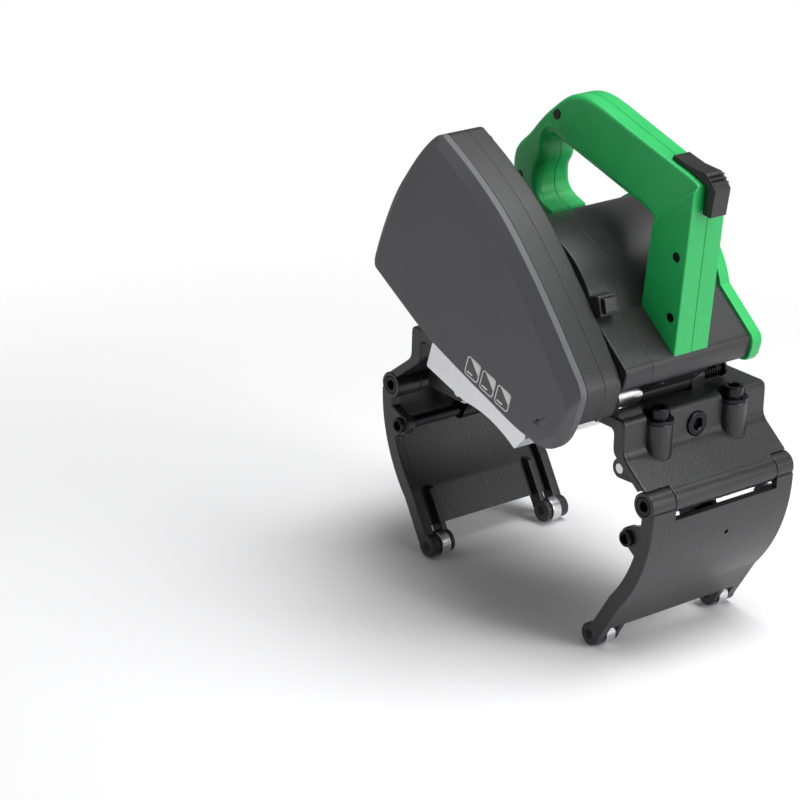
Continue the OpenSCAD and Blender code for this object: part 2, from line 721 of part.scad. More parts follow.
// Small lever that keeps the front cover shut
latch_x = 84;
latch_z = -35;
latch = [latch_x, latch_z];
latch_y = 14;
latch_t = 5;
latch_r = 4.5;
latch_reach = 16;
latch_pin_d = 4;
latch_lug_t = 6;
module latch_lug() {
  along(latch_y + latch_t + gap, latch_lug_t) {
    translate(latch) circle(r = latch_r);
    translate([latch_x - latch_r, latch_z]) square([latch_r*2, casing_low - latch_z + guard_wall*2]);
  }
  translate([latch_x - latch_r, latch_y + latch_t + gap, casing_low]) cube([edge[14][0] - latch_x, latch_lug_t, guard_wall*2]);
}
latch_high_share = 0.7;
latch_low_share = 0.3;
module cover_latch() {
  color([0.08, 0.08, 0.08]) difference() {
    union() {
      rod(latch, latch_y, latch_t, latch_r*2);
      along(latch_y, latch_t) polygon([
        latch + [0, latch_r], latch + [-latch_reach, latch_r*latch_high_share],
        latch + [-latch_reach, -latch_r*latch_low_share], latch - [0, latch_r]
      ]);
    }
    rod(latch, latch_y - over, latch_t + over*2, latch_pin_d + fit*2);
  }
}

// Lower guard: two plates beside the blade, joined at the right end to an arm on the hinge
plate_gap_front = 1.5;
plate_gap_back = 2;
arm_t = 3;
plate_shares = [[-0.227, -0.311], [-0.227, -0.214], [0.277, -0.237], [0.283, -0.258]];
plate_low_shares = [0.25, -0.318];
pipe_play = 1.8;
pipe_at = pivot - [
  hinge_x*cos(unit_tilt) - hinge_z*sin(unit_tilt),
  hinge_x*sin(unit_tilt) + hinge_z*cos(unit_tilt)
];
module lower_plate() {
  difference() {
    polygon(concat(scaled(plate_shares, guard_w), [plate_low_shares*guard_w]));
    translate(pipe_at) circle(r = pipe_r + pipe_play, $fn = 96);
  }
}
module lower_guard() {
  low = plate_low_shares*guard_w;
  high = plate_shares[3]*guard_w;
  front = -blade_t/2 - plate_gap_front - lower_guard_t;
  d = unit(high - low);
  s = [-d[1], d[0]]*arm_t;
  to_pin = unit(pivot - low);
  side = [-to_pin[1], to_pin[0]]*arm_t/2;
  color([0.72, 0.73, 0.74]) difference() {
    union() {
      along(front, lower_guard_t) lower_plate();
      along(blade_t/2 + plate_gap_back, lower_guard_t) lower_plate();
      along(front, web_knuckle + web_knuckle_len - front) polygon([low, high, high + s, low + s]);
      along(web_knuckle, web_knuckle_len) polygon([low + s, low, pivot - side, pivot + side]);
      rod(pivot, web_knuckle, web_knuckle_len, barrel_d);
    }
    rod(pivot, web_knuckle - over, web_knuckle_len + over*2, hinge_pin_d + fit*2);
  }
}

// Blade, flanges and spindle
tooth_shares = [[0, 0], [0.08, 1], [0.28, 0.94], [0.62, 0.1]];
module saw_blade() {
  color([0.8, 0.81, 0.83]) along(-blade_t/2, blade_t) difference() {
    polygon([for (i = [0:blade_teeth - 1]) for (s = tooth_shares) let(
        a = -(i + s[0])*360/blade_teeth,
        r = blade_r - tooth_h + tooth_h*s[1]
      ) [r*cos(a), r*sin(a)]]);
    circle(d = spindle_d + fit*2);
  }
}
flange_d = 44;
flange_t = 4;
inner_flange_t = 8;
flange_hub_d = 26.4;
bolt_d = 8;
bolt_head_d = 16;
bolt_head_t = 4;
bolt_len = 20;
module inner_flange() {
  color([0.45, 0.46, 0.48]) difference() {
    union() {
      rod([0, 0], blade_t/2, flange_t, flange_d);
      rod([0, 0], blade_t/2, inner_flange_t, flange_hub_d);
    }
    rod([0, 0], 0, inner_flange_t*2, spindle_d + fit*2);
  }
}
module outer_flange() {
  color([0.45, 0.46, 0.48]) difference() {
    rod([0, 0], -blade_t/2 - flange_t, flange_t, flange_d);
    rod([0, 0], -blade_t/2 - flange_t + over, flange_t, spindle_d + fit*2);
    rod([0, 0], -blade_t/2 - flange_t - over, flange_t, bolt_d + fit*2);
  }
}
module blade_bolt() {
  head_y = -blade_t/2 - flange_t - bolt_head_t;
  color([0.3, 0.3, 0.32]) difference() {
    union() {
      rod([0, 0], head_y, bolt_head_t, bolt_head_d);
      rod([0, 0], head_y + bolt_head_t, bolt_len, bolt_d);
    }
    hex_y([0, 0], head_y - over, bolt_head_t - over + over, bolt_d);
  }
}
gear_case_back = casing_back + gear_case_len;
spindle_back = gear_case_back - gap;
module spindle() {
  front = -blade_t/2 - flange_t + over;
  color([0.62, 0.63, 0.65]) difference() {
    rod([0, 0], front, spindle_back - front, spindle_d);
    rod([0, 0], front - over, bolt_len + over + gap, bolt_d + fit*2);
  }
}

// Gears between the motor and the spindle
motor_turn = 46;
gear_gap = 34;
motor = gear_gap*[cos(motor_turn), sin(motor_turn)];
gear_teeth = 30;
pinion_teeth = 10;
gear_tip_r = 26.7;
gear_root_r = 23.5;
gear_tip_w = 1.5;
gear_root_w = 3;
pinion_tip_r = 9.9;
pinion_root_r = 6.7;
pinion_tip_w = 1.2;
pinion_root_w = 2.6;
gear_at = 13;
gear_y = casing_back + gear_at;
gear_t = 6;
shaft_d = 9;
module gear_outline(n, root, tip_radius, root_w, tip_w, phase) {
  polygon([for (i = [0:n - 1]) let(a = phase - i*360/n) each [
    root*[cos(a + root_w/2/root*180/PI), sin(a + root_w/2/root*180/PI)],
    tip_radius*[cos(a + tip_w/2/tip_radius*180/PI), sin(a + tip_w/2/tip_radius*180/PI)],
    tip_radius*[cos(a - tip_w/2/tip_radius*180/PI), sin(a - tip_w/2/tip_radius*180/PI)],
    root*[cos(a - root_w/2/root*180/PI), sin(a - root_w/2/root*180/PI)]
  ]]);
}
module driven_gear() {
  color([0.5, 0.5, 0.52]) along(gear_y, gear_t) difference() {
    gear_outline(gear_teeth, gear_root_r, gear_tip_r, gear_root_w, gear_tip_w, motor_turn);
    circle(d = spindle_d + fit*2);
  }
}
lock_disc_r = 14;
lock_notch = 3.4;
lock_disc_t = 5;
lock_disc_at = 6;
lock_disc_y = casing_back + lock_disc_at;
lock_turn = 32.2;
lock_pin_d = 5;
lock_travel = 3.2;
lock_play = 0.3;
module motor_pinion() {
  color([0.5, 0.5, 0.52]) {
    along(gear_y, gear_t) translate(motor) difference() {
      gear_outline(pinion_teeth, pinion_root_r, pinion_tip_r, pinion_root_w, pinion_tip_w, motor_turn + 180 + 180/pinion_teeth);
      circle(d = shaft_d + fit*2);
    }
    along(lock_disc_y, lock_disc_t) translate(motor) difference() {
      circle(r = lock_disc_r);
      circle(d = shaft_d + fit*2);
      for (i = [0:3]) rotate(lock_turn + i*90) translate([lock_disc_r - lock_notch, -lock_pin_d/2 - lock_play])
        square([lock_disc_r, lock_pin_d + lock_play*2]);
    }
  }
}

// Bearings
ball_od = 30;
ball_w = 6;
motor_ball_od = 24;
seat_wall = 3;
front_ball_y = casing_back + 4.5;
back_ball_y = gear_case_back - ball_w - gap;
rear_ball_y = gear_case_back + motor_len - ball_w - gap;
module ring_at(p, y0, len, od, id) {
  difference() {
    rod(p, y0, len, od);
    rod(p, y0 - over, len + over*2, id);
  }
}
module spindle_bearings() {
  color([0.7, 0.71, 0.72]) {
    ring_at([0, 0], front_ball_y, ball_w, ball_od, spindle_d + fit*2);
    ring_at([0, 0], back_ball_y, ball_w, ball_od, spindle_d + fit*2);
  }
}
module motor_bearings() {
  color([0.7, 0.71, 0.72]) {
    ring_at(motor, back_ball_y, ball_w, motor_ball_od, shaft_d + fit*2);
    ring_at(motor, rear_ball_y, ball_w, motor_ball_od, shaft_d + fit*2);
  }
}

// Housing outline: a round back and a wing to the right
housing_x = 7;
housing_z = 6;
housing_c = [housing_x, housing_z];
wing_shares = [
  [1.53, 0.355], [1.57, 0.335], [1.6, 0.29], [1.611, 0.24], [1.611, 0.13], [1.59, 0.08], [1.55, 0.055],
  [0.625, -0.236], [0.208, -0.444], [-0.486, -0.444]
];
housing_from = 192;
housing_to = 31;
housing_steps = 24;
housing_outline = concat(arc(housing_c, housing_r, housing_from, housing_to, housing_steps), scaled(wing_shares, housing_r));
gear_screw_d = 4;
gear_boss_len = gear_case_len/2;
gear_screw_shares = [[-0.62, -0.2], [-0.62, 0.45], [0.1, 0.85], [0.95, 0.05]];
gear_screw_ps = scaled(gear_screw_shares, housing_r);
lock_dir = [cos(lock_turn), sin(lock_turn)];
lock_y = lock_disc_y + lock_disc_t/2;
lock_wall_at = 43;
lock_head_w = 12;
lock_head_at = 52;
lock_head_h = 8;
lock_collar_wall = 2;
lock_collar_top = 56;
// Frame with its X axis along the lock pin
module on_lock() {
  translate([motor[0], lock_y, motor[1]]) rotate([0, -lock_turn, 0]) children();
}
module gear_case() {
  color([0.2, 0.2, 0.21]) difference() {
    union() {
      along(casing_back, gear_case_len) difference() {
        polygon(housing_outline);
        polygon(grown(housing_outline, -housing_wall));
      }
      along(casing_back, housing_wall) polygon(housing_outline);
      rod([0, 0], casing_back, front_ball_y + ball_w - casing_back, ball_od + seat_wall*2);
      for (p = gear_screw_ps) rod(p, casing_back, gear_boss_len, guard_boss_d);
      on_lock() difference() {
        translate([lock_wall_at, -lock_head_w/2 - lock_collar_wall - gap, -lock_head_w/2 - lock_collar_wall - gap])
          cube([lock_collar_top - lock_wall_at, lock_head_w + lock_collar_wall*2 + gap*2, lock_head_w + lock_collar_wall*2 + gap*2]);
        translate([lock_head_at - lock_travel - gap*2, -lock_head_w/2 - gap, -lock_head_w/2 - gap])
          cube([lock_head_h*2, lock_head_w + gap*2, lock_head_w + gap*2]);
      }
    }
    rod([0, 0], casing_back - over, gear_case_len, spindle_d + over*2);
    rod([0, 0], front_ball_y, ball_w + over, ball_od + fit*2);
    for (p = gear_screw_ps) rod(p, casing_back - over, gear_boss_len, gear_screw_d + fit*2);
    on_lock() rotate([0, 90, 0]) cylinder(h = lock_head_at, d = lock_pin_d + fit*2);
  }
}
module gear_screws() {
  color([0.5, 0.5, 0.52]) for (p = gear_screw_ps) {
    rod(p, casing_back - guard_wall, gear_boss_len, gear_screw_d);
    rod(p, casing_back - guard_wall - guard_screw_head_h, guard_screw_head_h, guard_screw_head_d);
  }
}
module spindle_lock() {
  start = lock_disc_r + gap*2;
  color([0.1, 0.1, 0.1]) on_lock() {
    translate([start, 0, 0]) rotate([0, 90, 0]) cylinder(h = lock_head_at - start, d = lock_pin_d);
    translate([lock_head_at, -lock_head_w/2, -lock_head_w/2]) cube([lock_head_h, lock_head_w, lock_head_w]);
  }
}

// Motor
stator_d = 80;
stator_bore = 54;
stator_len = 44;
core_d = 52;
fan_d = 68;
fan_t = 8;
fan_plate_t = 2;
fan_hub_d = 20;
fan_blades = 14;
fan_blade_t = 1.6;
commutator_d = 26;
commutator_len = 12;
front_wall = 4;
fan_gap = 3;
stator_gap = 6;
commutator_gap = 5;
fan_y = gear_case_back + front_wall + fan_gap;
stator_y = fan_y + fan_t + stator_gap;
commutator_y = stator_y + stator_len + commutator_gap;
brush_w = 6;
brush_len = 16;
brush_gap = 0.4;
shaft_lead = 1;
shaft_front = lock_disc_y - shaft_lead;
web_t = 4;
module motor_housing() {
  color([0.1, 0.1, 0.11]) difference() {
    union() {
      along(gear_case_back, motor_len) difference() {
        polygon(housing_outline);
        polygon(grown(housing_outline, -housing_wall));
      }
      along(gear_case_back, front_wall) polygon(housing_outline);
      for (y = [stator_y + web_t, stator_y + stator_len - web_t*2, bridge_y + bridge_t])
        along(y, web_t) polygon(grown(housing_outline, -housing_wall + fit));
      rod([0, 0], back_ball_y - over, ball_w + over + gap, ball_od + seat_wall*2);
      rod(motor, back_ball_y - over, ball_w + over + gap, motor_ball_od + seat_wall*2);
    }
    rod([0, 0], back_ball_y - over*2, ball_w + over*2 + gap, ball_od + fit*2);
    rod(motor, back_ball_y - over*2, ball_w + over*2 + gap, motor_ball_od + fit*2);
    rod(motor, gear_case_back - over*2, front_wall + over*3, shaft_d + over*2);
    rod(motor, stator_y, stator_len, stator_d + fit*2);
    rod(motor, bridge_y, bridge_t*4, stator_bore);
    frame_bores();
  }
}
bridge_t = 3;
bridge_gap = 1;
bridge_y = commutator_y + commutator_len + bridge_gap;
bridge_d = 74;
module armature() {
  color([0.72, 0.45, 0.25]) {
    rod(motor, shaft_front, rear_ball_y + ball_w - shaft_front, shaft_d);
    ring_at(motor, stator_y, stator_len, core_d, shaft_d - fit);
    ring_at(motor, commutator_y, commutator_len, commutator_d, shaft_d - fit);
  }
}
module cooling_fan() {
  color([0.25, 0.25, 0.27]) {
    along(fan_y, fan_plate_t) translate(motor) difference() {
      circle(d = fan_d);
      circle(d = shaft_d + fit*2);
    }
    along(fan_y, fan_t) translate(motor) difference() {
      union() {
        circle(d = fan_hub_d);
        for (i = [0:fan_blades - 1]) rotate(i*360/fan_blades) translate([0, -fan_blade_t/2]) square([fan_d/2 - over, fan_blade_t]);
      }
      circle(d = shaft_d + fit*2);
    }
  }
}
module stator() {
  color([0.4, 0.35, 0.3]) ring_at(motor, stator_y, stator_len, stator_d, stator_bore);
}
module carbon_brushes() {
  color([0.15, 0.15, 0.16]) for (s = [0, 180]) translate([motor[0], commutator_y + commutator_len/2 - brush_w/2, motor[1]])
    rotate([0, s, 0]) translate([commutator_d/2 + brush_gap, 0, -brush_w/2]) cube([brush_len, brush_w, brush_w]);
}
module brush_bridge() {
  box = brush_w + seat_wall*2;
  color([0.5, 0.3, 0.15]) difference() {
    union() {
      ring_at(motor, bridge_y, bridge_t, bridge_d, commutator_d + seat_wall*2);
      for (s = [0, 180]) translate([motor[0], commutator_y, motor[1]]) rotate([0, s, 0])
        translate([commutator_d/2 + seat_wall, 0, -box/2])
          cube([brush_len, bridge_y - commutator_y + bridge_t/2, box]);
    }
    for (s = [0, 180]) translate([motor[0], commutator_y + commutator_len/2 - brush_w/2 - fit, motor[1]])
      rotate([0, s, 0]) translate([0, 0, -brush_w/2 - fit]) cube([stator_d, brush_w + fit*2, brush_w + fit*2]);
  }
}

// Rear cover with the rear bearing's seat and air slots
cover_proud = 2.5;
vent_w = 3;
vent_pitch = 7;
vent_count = 6;
vent_start_share = 0.55;
vent_low_share = 0.2;
vent_h_share = 0.35;
module rear_cover() {
  y = gear_case_back + motor_len;
  outline = grown(housing_outline, cover_proud);
  color([0.15, 0.6, 0.35]) difference() {
    union() {
      along(y, rear_cover_len) polygon(outline);
      rod(motor, rear_ball_y - gap, y - rear_ball_y + gap, motor_ball_od + seat_wall*2);
    }
    along(y - over, rear_cover_len - housing_wall + over) difference() {
      polygon(grown(housing_outline, -housing_wall));
      translate(motor) circle(d = motor_ball_od + seat_wall*2);
    }
    rod(motor, rear_ball_y - gap - over, ball_w + gap + over, motor_ball_od + fit*2);
    for (i = [0:vent_count - 1]) translate([housing_x - housing_r*vent_start_share + i*vent_pitch, y - over, housing_z + housing_r*vent_low_share])
      cube([vent_w, rear_cover_len + over*2, housing_r*vent_h_share]);
  }
}

// Cast frame that joins the motor housing to the plunge hinge
frame_shares = [[0.66, -0.1], [1.47, 0.2], [1.47, -0.045], [1.3, -0.32], [1.18, -0.42], [1.05, -0.4], [0.9, -0.3], [0.66, -0.31]];
frame_screw_d = 5;
frame_screw_head_d = 9;
frame_screw_head_h = 4;
frame_screw_shares = [0.78, 1.36];
frame_screw_rise = 12;
frame_screw_in = 9;
module frame_screw_places() {
  for (x = frame_screw_shares, y = [frame_knuckle + frame_screw_in, frame_knuckle + frame_knuckle_len - frame_screw_in])
    translate([x*housing_r, y, frame_under(x*housing_r)]) children();
}
// Height of the housing's underside at x
function frame_under(x) = let(a = wing_shares[7]*housing_r, b = wing_shares[6]*housing_r)
  a[1] + (x - a[0])*(b[1] - a[1])/(b[0] - a[0]);
module frame_bores() {
  frame_screw_places() translate([0, 0, -frame_screw_rise]) cylinder(h = frame_screw_rise*2, d = frame_screw_d + fit*2);
}
module hinge_frame() {
  color([0.16, 0.16, 0.17]) difference() {
    union() {
      difference() {
        along(frame_knuckle, frame_knuckle_len) polygon(scaled(frame_shares, housing_r));
        along(frame_knuckle - over, frame_knuckle_len + over*2) polygon(housing_outline);
      }
      rod(pivot, frame_knuckle, frame_knuckle_len, barrel_d);
    }
    rod(pivot, frame_knuckle - over, frame_knuckle_len + over*2, hinge_pin_d + fit*2);
    frame_bores();
    frame_screw_places() translate([0, 0, -frame_screw_rise - frame_screw_head_h - over])
      cylinder(h = frame_screw_head_h + frame_screw_rise/2 + over, d = frame_screw_head_d + gap*2);
  }
}
module hinge_frame_screws() {
  color([0.3, 0.3, 0.32]) frame_screw_places() {
    translate([0, 0, -frame_screw_rise/2]) cylinder(h = frame_screw_rise, d = frame_screw_d);
    translate([0, 0, -frame_screw_rise/2 - frame_screw_head_h]) cylinder(h = frame_screw_head_h, d = frame_screw_head_d);
  }
}

// Handle
handle_h = 158;
handle_shares = [
  [-0.4, 0.06], [-0.494, 0.114], [-0.633, 0.304], [-0.684, 0.481], [-0.601, 0.652], [-0.525, 0.797],
  [-0.449, 0.911], [-0.4, 0.958], [-0.348, 0.987], [-0.3, 1], [-0.247, 1.006], [0.52, 1.002], [0.538, 0.99],
  [0.715, 0.152], [0.66, 0.13], [0.42, 0.24]
];
hole_shares = [
  [0.415, 0.3], [-0.26, 0.3], [-0.3, 0.362], [-0.39, 0.37], [-0.425, 0.4], [-0.446, 0.45], [-0.456, 0.5], [-0.445, 0.55],
  [-0.45, 0.6], [-0.465, 0.64], [-0.46, 0.69], [-0.43, 0.713], [0.33, 0.713], [0.347, 0.7]
];
handle_bevel = 4;
handle_outline = scaled(handle_shares, handle_h);
hole_outline = scaled(hole_shares, handle_h);
handle_front = handle_mid - handle_w/2;
handle_screw_d = 4;
handle_boss_d = 8.8;
handle_sink = 3.6;
handle_sink_d = 8;
handle_screw_in = 0.8;
handle_screw_head_h = 2.8;
handle_screw_head_d = 7.2;
handle_screw_shares = [[-0.58, 0.4], [-0.44, 0.83], [0.55, 0.62], [0.62, 0.32]];
handle_screw_ps = scaled(handle_screw_shares, handle_h);
slot_shares = [0.39, 0.49];
module handle_half(front) {
  y0 = front ? handle_front : handle_mid;
  out = front ? handle_front : handle_front + handle_w;
  in = front ? handle_front + handle_bevel : handle_front + handle_w - handle_bevel;
  slim = grown(handle_outline, -handle_bevel);
  difference() {
    union() {
      slanted(slim, out, handle_outline, in);
      if (front) along(in, handle_mid - in) polygon(handle_outline);
      if (!front) along(handle_mid, in - handle_mid) polygon(handle_outline);
    }
    along(handle_front - over, handle_w + over*2) polygon(hole_outline);
    along(handle_front - over, handle_w + over*2) polygon(housing_outline);
    difference() {
      along(front ? y0 + handle_bevel : y0 - over, handle_w/2 - handle_bevel + over) difference() {
        polygon(grown(handle_outline, -handle_wall));
        polygon(grown(hole_outline, handle_wall));
        translate(housing_c) circle(r = housing_r + handle_wall);
      }
      for (p = handle_screw_ps) rod(p, handle_front, handle_w, handle_boss_d);
    }
    for (p = handle_screw_ps) rod(p, handle_front - over, handle_w + over*2, handle_screw_d + fit*2);
    for (p = handle_screw_ps) rod(p, handle_front - over, handle_sink + over, handle_sink_d);
    translate([slot_shares[0]*handle_h, handle_mid - switch_stem_w/2 - gap, handle_h - handle_wall*2])
      cube([switch_stem_len + switch_travel + gap*2, switch_stem_w + gap*2, handle_wall*3]);
  }
}
module handle_front_half() { color([0.2, 0.72, 0.43]) handle_half(true); }
module handle_rear_half() { color([0.2, 0.72, 0.43]) handle_half(false); }
module handle_screws() {
  color([0.35, 0.35, 0.37]) for (p = handle_screw_ps) {
    rod(p, handle_front + handle_screw_in, handle_w - handle_bevel, handle_screw_d);
    rod(p, handle_front + handle_screw_in, handle_screw_head_h, handle_screw_head_d);
  }
}
switch_w = 16;
switch_stem_w = 5;
switch_stem_len = 8;
switch_shares = [[0.33, 1.008], [0.34, 1.035], [0.56, 1.05], [0.612, 1.02], [0.628, 0.87], [0.578, 0.862], [0.549, 1.008]];
switch_rib_h = 1.5;
rib_shares = [0.48, 0.51, 0.54];
rib_base_share = 1.04;
switch_body_low_share = 0.765;
switch_body_h_share = 0.17;
switch_body_len_share = 0.15;
module power_switch() {
  color([0.06, 0.06, 0.06]) {
    along(handle_mid - switch_w/2, switch_w) polygon(scaled(switch_shares, handle_h));
    translate([slot_shares[0]*handle_h + gap, handle_mid - switch_stem_w/2, handle_h - handle_wall*2 + gap])
      cube([switch_stem_len, switch_stem_w, handle_wall*2 + over*1.5]);
    for (share = rib_shares) translate([share*handle_h, handle_mid - switch_w/2, rib_base_share*handle_h])
      cube([switch_rib_h, switch_w, switch_rib_h*2]);
  }
}
module switch_body() {
  color([0.3, 0.3, 0.32]) translate([slot_shares[0]*handle_h - handle_wall, handle_front + handle_bevel + gap, switch_body_low_share*handle_h])
    cube([switch_body_len_share*handle_h, handle_w - handle_bevel*2 - gap*2, switch_body_h_share*handle_h]);
}

clamp_body();
post_screws();
post_washers();
roller_yokes();
yoke_axles();
yoke_rollers_right();
yoke_rollers_left();
jaw_right();
jaw_left();
jaw_pins();
jaw_bolt_right();
jaw_bolt_left();
jaw_axles_right();
jaw_axles_left();
jaw_rollers_right();
jaw_rollers_left();
clamp_screw_right();
clamp_screw_left();
clamp_nut_right();
clamp_nut_left();
jaw_link_right();
jaw_link_left();
plunge_pin();
plunge_spring();
on_unit() hinge_frame();
on_unit() hinge_frame_screws();
on_unit() guard_front_cover();
on_unit() guard_middle_ring();
on_unit() guard_rear_casing();
on_unit() guard_screws();
on_unit() gear_screws();
on_unit() cover_latch();
on_unit() lower_guard();
on_unit() saw_blade();
on_unit() inner_flange();
on_unit() outer_flange();
on_unit() blade_bolt();
on_unit() spindle();
on_unit() spindle_bearings();
on_unit() driven_gear();
on_unit() gear_case();
on_unit() spindle_lock();
on_unit() motor_housing();
on_unit() rear_cover();
on_unit() armature();
on_unit() motor_pinion();
on_unit() cooling_fan();
on_unit() motor_bearings();
on_unit() stator();
on_unit() carbon_brushes();
on_unit() brush_bridge();
on_unit() handle_front_half();
on_unit() handle_rear_half();
on_unit() handle_screws();
on_unit() power_switch();
on_unit() switch_body();
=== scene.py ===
"""Looks of a clamp-on pipe saw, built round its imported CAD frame.

Lengths in the classes are millimetres. UNIT is the tilted frame of the saw unit, whose
origin is the blade's centre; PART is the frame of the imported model.
"""

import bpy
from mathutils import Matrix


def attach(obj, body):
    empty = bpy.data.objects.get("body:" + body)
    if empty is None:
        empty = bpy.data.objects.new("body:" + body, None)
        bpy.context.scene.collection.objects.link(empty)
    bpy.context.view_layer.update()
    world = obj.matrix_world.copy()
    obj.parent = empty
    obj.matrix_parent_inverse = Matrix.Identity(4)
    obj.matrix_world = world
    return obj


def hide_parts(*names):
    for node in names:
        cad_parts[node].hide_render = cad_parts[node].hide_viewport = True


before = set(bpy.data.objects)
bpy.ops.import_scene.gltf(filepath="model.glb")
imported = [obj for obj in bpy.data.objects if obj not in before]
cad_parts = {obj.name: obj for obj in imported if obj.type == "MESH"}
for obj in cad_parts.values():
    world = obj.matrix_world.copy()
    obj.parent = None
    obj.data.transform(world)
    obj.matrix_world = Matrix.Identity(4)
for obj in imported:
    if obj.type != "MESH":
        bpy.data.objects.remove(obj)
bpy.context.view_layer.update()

import logging
import math
from collections.abc import Iterable, Sequence
from dataclasses import dataclass, field
from enum import Enum

import bmesh
import bpy
from mathutils import Matrix, Vector

log = logging.getLogger("pipe_saw")

Point = tuple[float, float]
Outline = list[Point]
Ring = tuple[Outline, float]

MM = 0.001
TILT = math.radians(16.4)
PIVOT: Point = (84.7, -26.9)
HINGE: Point = (101.0, 132.0)
JAW_HINGE: Point = (154.5, 63.2)
JAW_TIP: Point = (101.854, -64.389)
ROLLER_AXIS: Point = (98.71, 69.12)
POST_PLACES = (82.5, 161.5)
CLAMP_FRONT = 47.0
CLAMP_BACK = 197.0
GUARD_WIDTH = 238.0
AXLE_BORE = 8.1
SCREW_BORE = 10.1
SMALL_BORE = 4.1
BARREL = 18.0
KNUCKLE = 22.0


class Place(Enum):
    """Frames in which a piece can be drawn."""

    PART = "part"
    UNIT = "unit"

    def matrix(self) -> Matrix:
        """The matrix from this frame's millimetres to the part frame's metres."""
        scale = Matrix.Scale(MM, 4)
        if self is Place.PART:
            return scale
        to_hinge = Matrix.Translation((HINGE[0], 0.0, HINGE[1]))
        back = Matrix.Translation((-PIVOT[0], 0.0, -PIVOT[1]))
        return scale @ to_hinge @ Matrix.Rotation(TILT, 4, "Y") @ back


class Axis(Enum):
    """Direction of a turned piece."""

    X = "x"
    Y = "y"
    Z = "z"

    def frame(self, origin: Vector) -> Matrix:
        """A frame at origin whose local Z is this axis."""
        turns = {
            Axis.X: Matrix.Rotation(math.pi / 2, 4, "Y"),
            Axis.Y: Matrix.Rotation(-math.pi / 2, 4, "X"),
            Axis.Z: Matrix.Identity(4),
        }
        return Matrix.Translation(origin) @ turns[self]


# Outlines


def scaled(shares: Iterable[Point], size: float) -> Outline:
    """Shares of a size as an outline."""
    return [(a * size, b * size) for a, b in shares]


def mixed(first: Outline, second: Outline, share: float) -> Outline:
    """The outline at a share of the way from the first to the second."""
    return [
        (a[0] + (b[0] - a[0]) * share, a[1] + (b[1] - a[1]) * share)
        for a, b in zip(first, second)
    ]


def arc(centre: Point, radius: float, start: float, end: float, steps: int) -> Outline:
    """Points along an arc.

    Args:
        centre: Centre of the arc.
        radius: Radius of the arc.
        start: First angle in degrees.
        end: Last angle in degrees.
        steps: Number of chords.

    Returns:
        The points, both ends included.
    """
    turns = [math.radians(start + (end - start) * i / steps) for i in range(steps + 1)]
    return [(centre[0] + radius * math.cos(t), centre[1] + radius * math.sin(t)) for t in turns]


def area(outline: Outline) -> float:
    """Signed area of an outline, positive when it runs anticlockwise."""
    return 0.5 * sum(
        a[0] * b[1] - b[0] * a[1] for a, b in zip(outline, outline[1:] + outline[:1])
    )


def inset(outline: Outline, depth: float) -> Outline:
    """The outline moved inwards with mitred corners; a negative depth moves it outwards."""
    sign = 1.0 if area(outline) > 0 else -1.0
    moved: Outline = []
    for i, p in enumerate(outline):
        before, after = Vector(outline[i - 1]), Vector(outline[(i + 1) % len(outline)])
        here = Vector(p)
        u, v = (here - before).normalized(), (after - here).normalized()
        m, n = Vector((-u.y, u.x)) * sign, Vector((-v.y, v.x)) * sign
        shift = (m + n) * (depth / max(1.0 + m.dot(n), 0.25))
        moved.append((here.x + shift.x, here.y + shift.y))
    return moved


def curve_through(
    points: Outline, corners: dict[int, float], steps: int = 6, closed: bool = True
) -> Outline:
    """A smooth line through points that keeps some of them as rounded corners.

    Args:
        points: Points on the line.
        corners: Length cut off each side of a corner, by the corner's index.
        steps: Chords between two points.
        closed: Whether the last point joins the first.

    Returns:
        The line's points.
    """
    count = len(points)
    knots = [Vector(p) for p in points]

    def heading(i: int) -> Vector:
        """Direction from one point to the next."""
        return (knots[(i + 1) % count] - knots[i % count]).normalized()

    def tangent(i: int, own: Vector) -> Vector:
        """Direction of the line at a point."""
        if i in corners or (not closed and i in (0, count - 1)):
            return own
        return (heading(i - 1) + heading(i)).normalized()

    runs: list[list[Vector]] = []
    for i in range(count if closed else count - 1):
        j = (i + 1) % count
        a, b, own = knots[i], knots[j], heading(i)
        length = (b - a).length
        ta, tb = tangent(i, own) * length, tangent(j, own) * length
        first = min(corners.get(i, 0.0) / length, 0.45)
        last = 1.0 - min(corners.get(j, 0.0) / length, 0.45)
        run = []
        for k in range(steps + 1):
            t = first + (last - first) * k / steps
            run.append(
                a * (2 * t**3 - 3 * t**2 + 1)
                + ta * (t**3 - 2 * t**2 + t)
                + b * (3 * t**2 - 2 * t**3)
                + tb * (t**3 - t**2)
            )
        runs.append(run)
    line: list[Vector] = []
    for i, run in enumerate(runs):
        j = (i + 1) % count
        line += run[:-1]
        last_run = not closed and i == len(runs) - 1
        if last_run or (j in corners and corners[j] > 0):
            line.append(run[-1])
        if j in corners and corners[j] > 0 and not last_run:
            p, q, corner = run[-1], runs[(i + 1) % len(runs)][0], knots[j]
            for t in (0.25, 0.5, 0.75):
                line.append(p * (1 - t) ** 2 + corner * (2 * t * (1 - t)) + q * t**2)
    return [(v.x, v.y) for v in line]


def corner_cut(outline: Outline, cuts: dict[int, float], steps: int = 4) -> Outline:
    """A straight-sided outline with some corners rounded by the length given for each."""
    line: Outline = []
    for i, p in enumerate(outline):
        if i not in cuts:
            line.append(p)
            continue
        here = Vector(p)
        before, after = Vector(outline[i - 1]), Vector(outline[(i + 1) % len(outline)])
        a = here + (before - here).normalized() * cuts[i]
        b = here + (after - here).normalized() * cuts[i]
        for k in range(steps + 1):
            t = k / steps
            q = a * (1 - t) ** 2 + here * (2 * t * (1 - t)) + b * t**2
            line.append((q.x, q.y))
    return line


def flipped(outline: Outline) -> Outline:
    """The outline mirrored in the plane X = 0."""
    return [(-x, z) for x, z in reversed(outline)]


# Solids


